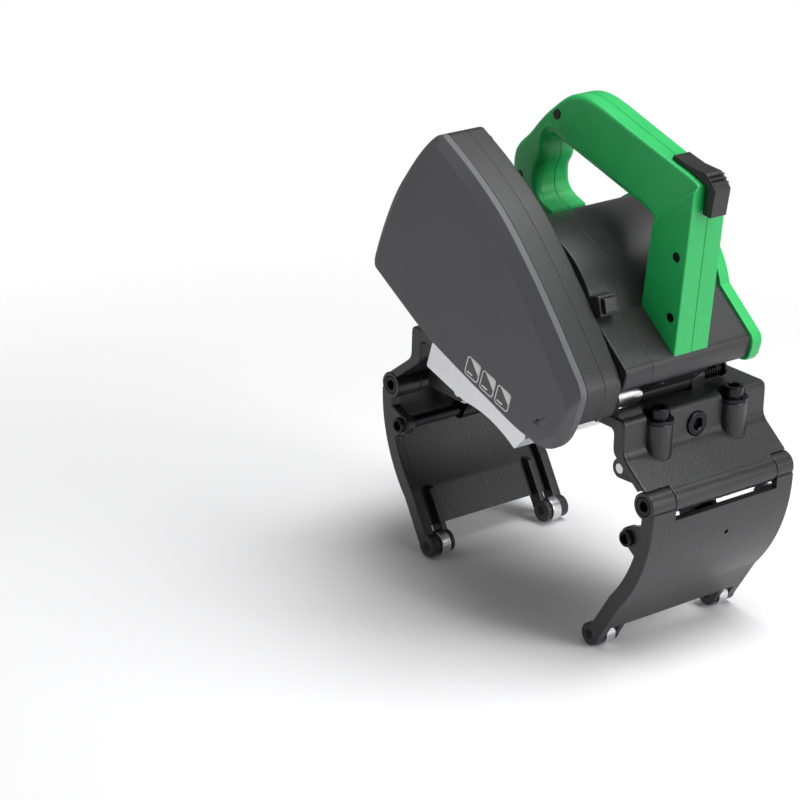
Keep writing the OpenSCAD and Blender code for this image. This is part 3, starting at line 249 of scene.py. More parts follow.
class Solid:
    """A closed mesh in millimetres, shaped by adding and cutting."""

    def __init__(self, bm: bmesh.types.BMesh) -> None:
        """Takes over a finished bmesh."""
        self.bm = bm

    @classmethod
    def from_rings(cls, rings: Sequence[Sequence[Vector]]) -> "Solid":
        """A skin over rings with the same number of points, closed at both ends."""
        bm = bmesh.new()
        layers = [[bm.verts.new(p) for p in ring] for ring in rings]
        count = len(layers[0])
        for low, high in zip(layers, layers[1:]):
            for k in range(count):
                bm.faces.new((low[k], low[(k + 1) % count], high[(k + 1) % count], high[k]))
        bm.faces.new(list(reversed(layers[0])))
        bm.faces.new(layers[-1])
        bmesh.ops.recalc_face_normals(bm, faces=bm.faces)
        return cls(bm)

    @classmethod
    def loft(cls, rings: Sequence[Ring]) -> "Solid":
        """A skin over outlines that stand at places along Y."""
        return cls.from_rings([[Vector((x, y, z)) for x, z in line] for line, y in rings])

    @classmethod
    def prism(
        cls, outline: Outline, y0: float, y1: float, front: float = 0.0, back: float = 0.0
    ) -> "Solid":
        """An outline drawn along Y.

        Args:
            outline: The outline in X and Z.
            y0: Front end.
            y1: Back end.
            front: Radius of the front edge.
            back: Radius of the back edge.

        Returns:
            The solid.
        """
        rings: list[Ring] = []
        if front > 0:
            for k in range(4):
                t = math.radians(30 * k)
                rings.append(
                    (inset(outline, front * (1 - math.sin(t))), y0 + front * (1 - math.cos(t)))
                )
        else:
            rings.append((outline, y0))
        if back > 0:
            for k in range(3, -1, -1):
                t = math.radians(30 * k)
                rings.append(
                    (inset(outline, back * (1 - math.sin(t))), y1 - back * (1 - math.cos(t)))
                )
        else:
            rings.append((outline, y1))
        return cls.loft(rings)

    @classmethod
    def turned(cls, profile: Sequence[Point], at: Matrix, segments: int = 56) -> "Solid":
        """A profile of (radius, height) turned about the Z axis of a frame.

        Args:
            profile: Radii and heights; where it doesn't start or end on the axis it is closed
                as a ring.
            at: The frame that it is turned in.
            segments: Facets round the axis.

        Returns:
            The solid.
        """
        bm = bmesh.new()
        hollow = profile[0][0] > 0 and profile[-1][0] > 0
        rows: list[list[bmesh.types.BMVert]] = []
        for radius, height in profile:
            if radius <= 0:
                rows.append([bm.verts.new((0.0, 0.0, height))])
                continue
            row = []
            for k in range(segments):
                t = math.tau * k / segments
                row.append(bm.verts.new((radius * math.cos(t), radius * math.sin(t), height)))
            rows.append(row)
        pairs = list(zip(rows, rows[1:])) + ([(rows[-1], rows[0])] if hollow else [])
        for low, high in pairs:
            for k in range(segments):
                n = (k + 1) % segments
                corners = [
                    low[k % len(low)], low[n % len(low)], high[n % len(high)], high[k % len(high)]
                ]
                bm.faces.new(list(dict.fromkeys(corners)))
        bmesh.ops.recalc_face_normals(bm, faces=bm.faces)
        bm.transform(at)
        return cls(bm)

    @classmethod
    def rod(
        cls,
        at: Matrix,
        length: float,
        diameter: float,
        edge: float = 0.0,
        bore: float = 0.0,
        segments: int = 56,
    ) -> "Solid":
        """A rod or ring from a frame's origin along its Z axis, with rounded end edges."""
        r, e = diameter / 2, edge
        outer = [(r, 0.0), (r, length)]
        if e > 0:
            turns = [math.radians(22.5 * k) for k in range(5)]
            low = [(r - e + e * math.sin(t), e - e * math.cos(t)) for t in turns]
            outer = low + [(a, length - b) for a, b in reversed(low)]
        if bore > 0:
            profile = [(bore / 2, length), (bore / 2, 0.0)] + outer
        else:
            profile = [(0.0, 0.0)] + outer + [(0.0, length)]
        return cls.turned(profile, at, segments)

    @classmethod
    def block(cls, low: Sequence[float], high: Sequence[float], edge: float = 0.0) -> "Solid":
        """A block between two corners with rounded edges round Y."""
        x0, y0, z0 = low
        x1, y1, z1 = high
        outline = [(x0, z0), (x1, z0), (x1, z1), (x0, z1)]
        if edge > 0:
            outline = corner_cut(outline, {i: edge * 1.7 for i in range(4)}, 3)
        return cls.prism(outline, y0, y1, edge, edge)

    def copy(self) -> "Solid":
        """A second solid of the same shape."""
        return Solid(self.bm.copy())

    def moved(self, matrix: Matrix) -> "Solid":
        """This solid carried by a matrix."""
        self.bm.transform(matrix)
        if matrix.determinant() < 0:
            bmesh.ops.reverse_faces(self.bm, faces=self.bm.faces)
        return self

    def mirrored(self) -> "Solid":
        """A copy on the other side of the plane X = 0."""
        return self.copy().moved(Matrix.Scale(-1, 4, (1, 0, 0)))

    def with_mirror(self) -> "Solid":
        """This solid and its mirror image, side by side."""
        return self.beside(self.mirrored())

    def beside(self, *others: "Solid") -> "Solid":
        """This solid with others laid next to it, without joining their surfaces."""
        for other in others:
            mesh = bpy.data.meshes.new("beside")
            other.bm.to_mesh(mesh)
            self.bm.from_mesh(mesh)
            bpy.data.meshes.remove(mesh)
            other.bm.free()
        return self

    def _combined(self, others: Sequence["Solid"], operation: str) -> "Solid":
        """Joins or cuts with each of the others, exactly."""
        scene = bpy.context.scene.collection
        mesh = bpy.data.meshes.new("work")
        self.bm.to_mesh(mesh)
        work = bpy.data.objects.new("work", mesh)
        scene.objects.link(work)
        tools = []
        for other in others:
            other_mesh = bpy.data.meshes.new("tool")
            other.bm.to_mesh(other_mesh)
            other.bm.free()
            tool = bpy.data.objects.new("tool", other_mesh)
            scene.objects.link(tool)
            tools.append(tool)
            step = work.modifiers.new("step", "BOOLEAN")
            step.object, step.operation, step.solver = tool, operation, "MANIFOLD"
        graph = bpy.context.evaluated_depsgraph_get()
        graph.update()
        result = bpy.data.meshes.new_from_object(work.evaluated_get(graph))
        self.bm.clear()
        self.bm.from_mesh(result)
        bpy.data.meshes.remove(result)
        for item in [work, *tools]:
            data = item.data
            bpy.data.objects.remove(item)
            bpy.data.meshes.remove(data)
        return self

    def add(self, *others: "Solid") -> "Solid":
        """This solid joined with others."""
        return self._combined(others, "UNION")

    def cut(self, *others: "Solid") -> "Solid":
        """This solid without the space of others."""
        return self._combined(others, "DIFFERENCE")

    def keep(self, *others: "Solid") -> "Solid":
        """The space that this solid shares with others."""
        return self._combined(others, "INTERSECT")


def at_x(x: float, y: float, z: float) -> Matrix:
    """A frame at a place whose Z axis runs along X."""
    return Axis.X.frame(Vector((x, y, z)))


def at_y(point: Point, y: float) -> Matrix:
    """A frame whose Z axis runs along Y from a point of the X-Z plane."""
    return Axis.Y.frame(Vector((point[0], y, point[1])))


def at_z(x: float, y: float, z: float) -> Matrix:
    """A frame at a place whose Z axis runs up."""
    return Axis.Z.frame(Vector((x, y, z)))


def to_front(point: Point, y: float) -> Matrix:
    """A frame at a point of the X-Z plane whose Z axis runs to the front."""
    turn = Matrix.Rotation(math.pi / 2, 4, "X")
    return Matrix.Translation((point[0], y, point[1])) @ turn


def shade(mesh: bpy.types.Mesh, angle: float) -> None:
    """Shades a mesh smooth, with sharp edges where faces meet at more than the angle."""
    bm = bmesh.new()
    bm.from_mesh(mesh)
    for face in bm.faces:
        face.smooth = True
    for edge in bm.edges:
        edge.smooth = len(edge.link_faces) == 2 and edge.calc_face_angle(0.0) < math.radians(angle)
    bm.to_mesh(mesh)
    bm.free()


# Finishes


class Coat(Enum):
    """How the surface of a finish is made."""

    MOULDED = "moulded"
    CAST = "cast"
    BRUSHED = "brushed"
    PRINTED = "printed"


@dataclass(frozen=True)
class Finish:
    """A material of the part.

    Attributes:
        name: Name of the material.
        slot: Name of a material slot; not used.
        colour: Red, green and blue as a screen shows them, 0 to 255.
        metallic: Share of metal.
        roughness: Middle roughness.
        coat: How the surface is made.
        grain: Grains per millimetre.
        relief: Height of the grain in millimetres.
        mottle: Share by which the colour varies.
        wear: Share of bare colour that shows on edges.
        worn: Colour of worn edges.
    """

    name: str
    slot: str
    colour: tuple[int, int, int]
    metallic: float = 0.0
    roughness: float = 0.5
    coat: Coat = Coat.MOULDED
    grain: float = 2.0
    relief: float = 0.02
    mottle: float = 0.12
    wear: float = 0.0
    worn: tuple[int, int, int] = (150, 150, 152)


def linear(colour: tuple[int, int, int]) -> tuple[float, float, float, float]:
    """A screen colour as the shader's linear colour."""
    parts = []
    for value in colour:
        c = value / 255
        parts.append(c / 12.92 if c <= 0.04045 else ((c + 0.055) / 1.055) ** 2.4)
    return (parts[0], parts[1], parts[2], 1.0)


class Effects:
    """Shader node groups that every finish shares."""

    def __init__(self) -> None:
        """Builds the groups once."""
        self.grain = self._grain()
        self.brushing = self._brushing()
        self.wear = self._wear()
        self.top_light = self._top_light()

    @staticmethod
    def _group(name: str, inputs: dict[str, float], outputs: dict[str, str]) -> bpy.types.NodeTree:
        """An empty group with its sockets.

        Args:
            name: The group's name.
            inputs: Default of each number input.
            outputs: Socket type of each output.

        Returns:
            The node tree.
        """
        tree = bpy.data.node_groups.new(name, "ShaderNodeTree")
        for label, value in inputs.items():
            socket = tree.interface.new_socket(label, in_out="INPUT", socket_type="NodeSocketFloat")
            socket.default_value = value
        for label, kind in outputs.items():
            tree.interface.new_socket(label, in_out="OUTPUT", socket_type=kind)
        tree.nodes.new("NodeGroupInput")
        tree.nodes.new("NodeGroupOutput")
        return tree

    @staticmethod
    def _ends(tree: bpy.types.NodeTree) -> tuple[bpy.types.Node, bpy.types.Node]:
        """The group's input and output nodes."""
        kinds = {node.bl_idname: node for node in tree.nodes}
        return kinds["NodeGroupInput"], kinds["NodeGroupOutput"]

    @classmethod
    def _math(
        cls, tree: bpy.types.NodeTree, operation: str, first: object, second: object = 0.0
    ) -> bpy.types.NodeSocket:
        """The output of a Math node fed by sockets or numbers."""
        node = tree.nodes.new("ShaderNodeMath")
        node.operation = operation
        for socket, value in zip(node.inputs, (first, second)):
            if isinstance(value, bpy.types.NodeSocket):
                tree.links.new(value, socket)
            else:
                socket.default_value = value
        return node.outputs[0]

    @classmethod
    def _place(
        cls, tree: bpy.types.NodeTree, scale: object, stretch: Vector | None = None
    ) -> bpy.types.NodeSocket:
        """Object coordinates times a scale, stretched along the axes."""
        coordinates = tree.nodes.new("ShaderNodeTexCoord").outputs["Object"]
        if stretch is not None:
            pull = tree.nodes.new("ShaderNodeVectorMath")
            pull.operation = "MULTIPLY"
            tree.links.new(coordinates, pull.inputs[0])
            pull.inputs[1].default_value = stretch
            coordinates = pull.outputs[0]
        node = tree.nodes.new("ShaderNodeVectorMath")
        node.operation = "SCALE"
        tree.links.new(coordinates, node.inputs[0])
        tree.links.new(scale, node.inputs["Scale"])
        return node.outputs[0]

    @classmethod
    def _noise(
        cls, tree: bpy.types.NodeTree, vector: bpy.types.NodeSocket, detail: float
    ) -> bpy.types.NodeSocket:
        """The value of a noise texture at a place."""
        node = tree.nodes.new("ShaderNodeTexNoise")
        node.inputs["Scale"].default_value = 1.0
        node.inputs["Detail"].default_value = detail
        tree.links.new(vector, node.inputs["Vector"])
        return node.outputs["Fac"]

    def _grain(self) -> bpy.types.NodeTree:
        """Sand-like grain of moulded and cast surfaces, with slow mottling."""
        tree = self._group(
            "surface_grain",
            {"Grains": 2000.0, "Pitting": 0.0},
            {"Height": "NodeSocketFloat", "Mottle": "NodeSocketFloat"},
        )
        start, end = self._ends(tree)
        fine = self._noise(tree, self._place(tree, start.outputs["Grains"]), 2.0)
        cells = tree.nodes.new("ShaderNodeTexVoronoi")
        cells.feature = "SMOOTH_F1"
        cells.inputs["Scale"].default_value = 0.8
        tree.links.new(self._place(tree, start.outputs["Grains"]), cells.inputs["Vector"])
        pits = self._math(tree, "MULTIPLY", cells.outputs["Distance"], start.outputs["Pitting"])
        tree.links.new(self._math(tree, "ADD", fine, pits), end.inputs["Height"])
        slow = self._math(tree, "MULTIPLY", start.outputs["Grains"], 0.012)
        tree.links.new(self._noise(tree, self._place(tree, slow), 4.0), end.inputs["Mottle"])
        return tree

    def _brushing(self) -> bpy.types.NodeTree:
        """Fine lines of brushed or ground metal that run along Y."""
        tree = self._group(
            "brushed_lines",
            {"Lines": 3000.0},
            {"Height": "NodeSocketFloat", "Streak": "NodeSocketFloat"},
        )
        start, end = self._ends(tree)
        lines = self._place(tree, start.outputs["Lines"], Vector((1.0, 0.03, 1.0)))
        tree.links.new(self._noise(tree, lines, 3.0), end.inputs["Height"])
        slow = self._math(tree, "MULTIPLY", start.outputs["Lines"], 0.06)
        broad = self._place(tree, slow, Vector((1.0, 0.15, 1.0)))
        tree.links.new(self._noise(tree, broad, 2.0), end.inputs["Streak"])
        return tree

    def _wear(self) -> bpy.types.NodeTree:
        """A mask of outer edges, broken up by noise."""
        tree = self._group(
            "edge_wear", {"Amount": 0.3, "Spread": 260.0}, {"Mask": "NodeSocketFloat"}
        )
        start, end = self._ends(tree)
        shape = tree.nodes.new("ShaderNodeNewGeometry")
        edge = tree.nodes.new("ShaderNodeMapRange")
        edge.inputs["From Min"].default_value = 0.53
        edge.inputs["From Max"].default_value = 0.66
        tree.links.new(shape.outputs["Pointiness"], edge.inputs["Value"])
        patches = self._noise(tree, self._place(tree, start.outputs["Spread"]), 4.0)
        broken = tree.nodes.new("ShaderNodeMapRange")
        broken.inputs["From Min"].default_value = 0.42
        broken.inputs["From Max"].default_value = 0.62
        tree.links.new(patches, broken.inputs["Value"])
        mask = self._math(tree, "MULTIPLY", edge.outputs["Result"], broken.outputs["Result"])
        tree.links.new(
            self._math(tree, "MULTIPLY", mask, start.outputs["Amount"]), end.inputs["Mask"]
        )
        return tree

    def _top_light(self) -> bpy.types.NodeTree:
        """Painted top light: a faint pale tint on faces that look up, standing in for light from
        above.
        """
        tree = self._group("painted_top_light", {"Amount": 0.05}, {"Mask": "NodeSocketFloat"})
        start, end = self._ends(tree)
        shape = tree.nodes.new("ShaderNodeNewGeometry")
        split = tree.nodes.new("ShaderNodeSeparateXYZ")
        tree.links.new(shape.outputs["Normal"], split.inputs[0])
        up = self._math(tree, "MAXIMUM", split.outputs["Z"], 0.0)
        tree.links.new(
            self._math(tree, "MULTIPLY", up, start.outputs["Amount"]), end.inputs["Mask"]
        )
        return tree


class Paintbox:
    """Makes each finish's material once and hands it out."""

    def __init__(self, effects: Effects) -> None:
        """Keeps the shared effects."""
        self.effects = effects
        self.made: dict[str, bpy.types.Material] = {}

    def _use(
        self, tree: bpy.types.NodeTree, group: bpy.types.NodeTree, **values: float
    ) -> bpy.types.Node:
        """Places a group in a material with its own values."""
        node = tree.nodes.new("ShaderNodeGroup")
        node.node_tree = group
        for label, value in values.items():
            node.inputs[label].default_value = value
        return node

    @staticmethod
    def _blend(
        tree: bpy.types.NodeTree, factor: object, first: object, second: object
    ) -> bpy.types.NodeSocket:
        """The colour output of a Mix node."""
        node = tree.nodes.new("ShaderNodeMix")
        node.data_type = "RGBA"
        for socket, value in (
            (node.inputs[0], factor), (node.inputs[6], first), (node.inputs[7], second)
        ):
            if isinstance(value, bpy.types.NodeSocket):
                tree.links.new(value, socket)
            else:
                socket.default_value = value
        return node.outputs[2]

    @staticmethod
    def _spread(
        tree: bpy.types.NodeTree, value: bpy.types.NodeSocket, low: float, high: float
    ) -> bpy.types.NodeSocket:
        """A texture's middle values spread between two numbers."""
        node = tree.nodes.new("ShaderNodeMapRange")
        node.inputs["From Min"].default_value = 0.3
        node.inputs["From Max"].default_value = 0.7
        node.inputs["To Min"].default_value = low
        node.inputs["To Max"].default_value = high
        tree.links.new(value, node.inputs["Value"])
        return node.outputs["Result"]

    def material(self, finish: Finish) -> bpy.types.Material:
        """The material of a finish."""
        if finish.name in self.made:
            return self.made[finish.name]
        made = bpy.data.materials.new(finish.name)
        made.use_nodes = True
        tree = made.node_tree
        shader = next(n for n in tree.nodes if n.bl_idname == "ShaderNodeBsdfPrincipled")
        shader.inputs["Metallic"].default_value = finish.metallic
        base = linear(finish.colour)
        low = tuple(c * (1 - finish.mottle) for c in base[:3]) + (1.0,)
        high = tuple(min(c * (1 + finish.mottle), 1.0) for c in base[:3]) + (1.0,)
        if finish.coat is Coat.BRUSHED:
            lines = self._use(tree, self.effects.brushing, Lines=finish.grain / MM)
            height, slow = lines.outputs["Height"], lines.outputs["Streak"]
        else:
            pitting = 0.6 if finish.coat is Coat.CAST else 0.15
            grain = self._use(tree, self.effects.grain, Grains=finish.grain / MM, Pitting=pitting)
            height, slow = grain.outputs["Height"], grain.outputs["Mottle"]
        colour = self._blend(tree, self._spread(tree, slow, 0.0, 1.0), low, high)
        if finish.coat is not Coat.PRINTED:
            speck = self._spread(tree, height, 0.0, finish.mottle)
            colour = self._blend(
                tree, speck, colour, tuple(min(c * 1.8 + 0.004, 1.0) for c in base[:3]) + (1.0,)
            )
        if finish.wear > 0:
            wear = self._use(tree, self.effects.wear, Amount=finish.wear)
            colour = self._blend(tree, wear.outputs["Mask"], colour, linear(finish.worn))
        # Non-metal faces that look up are blended towards pale grey: painted top light.
        if finish.metallic < 0.5:
            top_light = self._use(tree, self.effects.top_light, Amount=0.015)
            colour = self._blend(tree, top_light.outputs["Mask"], colour, linear((170, 168, 162)))
        tree.links.new(colour, shader.inputs["Base Color"])
        rough = self._spread(tree, slow, finish.roughness - 0.05, finish.roughness + 0.05)
        tree.links.new(rough, shader.inputs["Roughness"])
        bump = tree.nodes.new("ShaderNodeBump")
        bump.inputs["Distance"].default_value = finish.relief * MM
        bump.inputs["Strength"].default_value = 1.0
        tree.links.new(height, bump.inputs["Height"])
        tree.links.new(bump.outputs["Normal"], shader.inputs["Normal"])
        self.made[finish.name] = made
        return made


CAST_BLACK = Finish(
    "cast_black", "cast_black", (27, 27, 29), 0.0, 0.36, Coat.CAST, 0.8, 0.16, 0.2, 0.2,
    (96, 96, 98)
)
# Below: the guard's grey for faces that look to the front, then a darker copy of it for the faces
# turned away on the cover, ring and casing: painted shade.
GUARD_FACE = Finish(
    "guard_face", "guard_charcoal", (74, 74, 76), 0.0, 0.5, Coat.CAST, 1.6, 0.05, 0.16
)
GUARD_SHADED_SIDE = Finish(
    "guard_shaded_side", "guard_dark", (27, 27, 29), 0.0, 0.42, Coat.CAST, 0.8, 0.14, 0.18, 0.1
)
GEAR_METAL = Finish(
    "gear_metal", "gear_metal", (28, 28, 30), 0.1, 0.4, Coat.CAST, 0.8, 0.14, 0.2, 0.15,
    (120, 120, 122)
)
MOTOR_PLASTIC = Finish(
    "motor_plastic", "motor_plastic", (29, 29, 31), 0.0, 0.4, Coat.MOULDED, 2.4, 0.03, 0.12
)
GREEN_PLASTIC = Finish(
    "green_plastic", "green_plastic", (26, 166, 84), 0.0, 0.4, Coat.MOULDED, 2.6, 0.025, 0.05
)
BLACK_PLASTIC = Finish(
    "black_plastic", "black_plastic", (18, 18, 20), 0.0, 0.36, Coat.MOULDED, 2.4, 0.025, 0.1
)
BRIGHT_STEEL = Finish(
    "bright_steel", "bright_steel", (214, 214, 216), 1.0, 0.26, Coat.BRUSHED, 1.6, 0.01, 0.05
)
BLADE_STEEL = Finish(
    "blade_steel", "blade_steel", (196, 198, 202), 1.0, 0.3, Coat.BRUSHED, 1.4, 0.012, 0.06
)
DARK_STEEL = Finish(
    "dark_steel", "dark_steel", (34, 34, 36), 0.8, 0.28, Coat.MOULDED, 1.8, 0.02, 0.15, 0.2,
    (120, 120, 122)
)
BRONZE = Finish("bronze", "bronze", (168, 132, 74), 1.0, 0.38, Coat.MOULDED, 1.4, 0.02, 0.12)
IRON = Finish("iron_core", "iron_core", (96, 94, 92), 0.9, 0.5, Coat.BRUSHED, 1.0, 0.05, 0.15)
CARBON = Finish("carbon", "carbon", (34, 34, 36), 0.0, 0.7, Coat.CAST, 2.0, 0.03, 0.2)
PRINT = Finish(
    "white_print", "guard_charcoal", (228, 228, 226), 0.0, 0.5, Coat.PRINTED, 2.0, 0.01, 0.03
)
SEAL = Finish("bearing_seal", "bright_steel", (40, 40, 42), 0.0, 0.5, Coat.MOULDED, 2.0, 0.02, 0.1)


class Workshop:
    """Turns solids into dressed pieces that ride on the frame's bodies."""

    def __init__(self, paints: Paintbox) -> None:
        """Keeps the paints."""
        self.paints = paints

    def piece(
        self,
        name: str,
        solid: Solid,
        finish: Finish,
        body: str,
        replaces: Sequence[str] = (),
        place: Place = Place.PART,
        limit: float = 38.0,
        side: Finish | None = None,
    ) -> bpy.types.Object:
        """Makes a piece from a solid.

        Args:
            name: The piece's name.
            solid: Its shape in millimetres.
            finish: Its finish.
            body: The CAD body that it rides on.
            replaces: CAD nodes that it stands for.
            place: The frame that the solid is drawn in.
            limit: Smallest angle that is shaded sharp.
            side: A darker finish for the faces that do not face the front: painted shade on the
                sides.

        Returns:
            The piece.
        """
        bm = solid.bm
        bmesh.ops.remove_doubles(bm, verts=bm.verts, dist=0.01)
        bmesh.ops.dissolve_limit(
            bm, angle_limit=math.radians(0.15), verts=bm.verts, edges=bm.edges
        )
        bm.transform(place.matrix())
        bmesh.ops.recalc_face_normals(bm, faces=bm.faces)
        mesh = bpy.data.meshes.new(name)
        bm.to_mesh(mesh)
        bm.free()
        made = bpy.data.objects.new(name, mesh)
        bpy.context.scene.collection.objects.link(made)
        shade(made.data, limit)
        # Faces that look to the front keep the finish and all others take the darker side finish:
        # painted shade.
        if side is not None:
            for face in made.data.polygons:
                face.material_index = 0 if (
                    place.matrix().to_3x3().normalized().inverted() @ face.normal
                ).y < -0.98 else 1
        normals = made.modifiers.new("normals", "WEIGHTED_NORMAL")
        normals.keep_sharp = True
        made.data.materials.clear()
        made.data.materials.append(self.paints.material(finish))
        if side is not None:
            made.data.materials.append(self.paints.material(side))
        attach(made, body)
        if replaces:
            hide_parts(*replaces)
        log.info("%s: %d faces on %s", name, len(made.data.polygons), body)
        return made

    def carry_over(self, finish: Finish, *nodes: str) -> None:
        """Gives CAD nodes that stay in view a finish."""
        for name in nodes:
            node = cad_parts[name]
            node.data.materials.clear()
            node.data.materials.append(self.paints.material(finish))
            log.info("%s: carried over as %s", name, finish.name)


# Sub-assemblies


@dataclass
class Guard:
    """Front cover, middle ring and rear casing round the upper half of the blade."""

    width: float = GUARD_WIDTH
    front: float = -14.5
    rim: float = 5.5
    cover: float = 12.0
    ring: float = 18.0
    casing: float = 16.5
    wall: float = 3.0
    low_share: float = -0.092
    boss: float = 9.0
    screw: float = SMALL_BORE
    lug: Point = (84.0, -35.0)
    lug_at: float = 19.3
    lug_t: float = 6.0
    lug_r: float = 4.5
    nose: float = 50.0
    face_shares: list[Point] = field(default_factory=lambda: [
        (-0.54, -0.099), (-0.538, -0.042), (-0.525, 0.076), (-0.504, 0.181), (-0.479, 0.265),
        (-0.441, 0.361), (-0.399, 0.433), (-0.382, 0.454), (-0.231, 0.414), (-0.063, 0.351),
        (0.105, 0.25), (0.273, 0.132), (0.357, 0.071), (0.441, 0.008), (0.462, -0.013),
        (0.45, -0.08), (0.431, -0.128), (0.399, -0.166), (0.37, -0.189), (0.332, -0.204),
        (0.105, -0.2), (-0.063, -0.189), (-0.231, -0.172), (-0.399, -0.134),
    ])
    edge_shares: list[Point] = field(default_factory=lambda: [
        (-0.567, -0.105), (-0.565, -0.034), (-0.555, 0.08), (-0.536, 0.189), (-0.508, 0.277),
        (-0.468, 0.378), (-0.426, 0.454), (-0.397, 0.489), (-0.231, 0.452), (-0.055, 0.393),
        (0.133, 0.293), (0.294, 0.191), (0.387, 0.126), (0.466, 0.067), (0.483, 0.042),
        (0.479, -0.067), (0.464, -0.134), (0.433, -0.183), (0.391, -0.212), (0.345, -0.223),
        (0.105, -0.214), (-0.063, -0.206), (-0.231, -0.189), (-0.412, -0.149),
    ])
    screw_shares: list[Point] = field(default_factory=lambda: [
        (-0.54, -0.06), (-0.502, 0.22), (-0.36, 0.452), (-0.03, 0.352), (0.452, -0.045),
    ])

    def outline(self, shares: list[Point]) -> Outline:
        """The smooth outline of the cover's face or edge."""
        return curve_through(scaled(shares, self.width), {0: 4.0, 7: 4.5, 14: 3.0})

    def casing_outline(self) -> Outline:
        """The smooth outline of the ring and the casing, with a straight lower edge."""
        edge = scaled(self.edge_shares, self.width)
        low = self.low_share * self.width
        points = [(edge[0][0], low), *edge[1:16], (edge[15][0] - (edge[15][1] - low), low)]
        return curve_through(points, {0: 2.0, 7: 4.5, 14: 2.5, 15: 1.2, 16: 1.5})

    def bosses(self, y0: float, y1: float) -> list[Solid]:
        """Screw bosses between two places along Y."""
        return [
            Solid.rod(at_y(p, y0), y1 - y0, self.boss, segments=32)
            for p in scaled(self.screw_shares, self.width)
        ]

    def holes(self, y0: float, y1: float) -> list[Solid]:
        """Screw holes between two places along Y."""
        return [
            Solid.rod(at_y(p, y0), y1 - y0, self.screw, segments=24)
            for p in scaled(self.screw_shares, self.width)
        ]

    def front_cover(self) -> Solid:
        """The cover: a flat face, a slanted rim and a short straight side, hollow behind."""
        face, edge = self.outline(self.face_shares), self.outline(self.edge_shares)
        y, end = self.front, self.front + self.cover
        skin = Solid.loft([
            (inset(face, 0.9), y),
            (inset(face, 0.42), y + 0.1),
            (mixed(face, edge, 0.02), y + 0.32),
            (mixed(face, edge, 0.1), y + 0.8),
            (mixed(face, edge, 0.93), y + self.rim - 0.5),
            (edge, y + self.rim + 0.25),
            (edge, end - 0.9),
            (inset(edge, 0.2), end - 0.3),
            (inset(edge, 0.7), end),
        ])
        hollow = Solid.prism(inset(face, self.wall), y + self.wall, end + 4.0)
        hollow.cut(*self.bosses(y, end + 6.0))
        low = self.low_share * self.width
        x0 = self.edge_shares[0][0] * self.width + self.wall
        x1 = self.edge_shares[18][0] * self.width
        way = Solid.block((x0, y + self.rim, -self.width), (x1, end + 4.0, low))
        return skin.cut(hollow, way, *self.holes(end - 5.0, end + 4.0))

    def shell(self, y0: float, y1: float, back: float) -> Solid:
        """A length of the ring or casing, open below.

        Args:
            y0: Front end.
            y1: Back end.
            back: Thickness of a closing wall at the back, or zero.

        Returns:
            The shell.
        """
        outline = self.casing_outline()
        low = self.low_share * self.width
        skin = Solid.prism(outline, y0, y1, 0.5, 1.6 if back else 0.5)
        inner = inset(outline, self.wall)
        end = y1 - back if back else y1 + 1.0
        xs = [p[0] for p in inner]
        room = Solid.prism(inner, y0 - 1.0, end)
        mouth = Solid.block(
            (min(xs), y0 - 1.0, low - 5.0), (max(xs) - 6.0, end, low + self.wall + 1.0)
        )
        room.add(mouth).cut(*self.bosses(y0 - 2.0, y1 + 2.0))
        return skin.cut(room, *self.holes(y0 - 1.0, y1 + 1.0))

    def marks(self) -> Solid:
        """Three plain printed squares, each with a light corner and a short bar."""
        plate: Solid | None = None
        y0, y1 = self.front - 0.09, self.front + 0.2
        for i in range(3):
            x, z, size, line = -3.0 + i * 19.0, -43.6 - i * 0.7, 16.6, 0.9
            square = [(x, z), (x + size, z), (x + size, z + size), (x, z + size)]
            frame_line = corner_cut(square, {k: 3.2 for k in range(4)}, 4)
            inner = inset(frame_line, line)
            ring = Solid.prism(frame_line, y0, y1).cut(Solid.prism(inner, y0 - 1, y1 + 1))
            corner = [
                (x + 3.2, z + size - 0.6), (x + size - 0.6, z + size - 0.6),
                (x + size - 0.6, z + 6.4)
            ]
            corner = corner_cut(corner, {0: 0.8, 1: 2.4, 2: 0.8}, 3)
            bar = [(x + 2.6, z + 2.6), (x + 9.4, z + 2.6), (x + 9.4, z + 4.0), (x + 2.6, z + 4.0)]
            ring.beside(Solid.prism(corner, y0, y1), Solid.prism(bar, y0, y1))
            plate = ring if plate is None else plate.beside(ring)
        return plate

    def arrow(self) -> Solid:
        """The dark arrow for the blade's turn."""
        stem = arc((79.0, -20.0), 11.0, -75, -8, 10)
        inner = arc((79.0, -20.0), 9.6, -8, -75, 10)
        head = [(78.0, -34.2), (84.5, -27.6), (84.9, -33.6)]
        y0, y1 = self.front - 0.08, self.front + 0.2
        return Solid.prism(stem + inner, y0, y1).beside(Solid.prism(head, y0, y1))

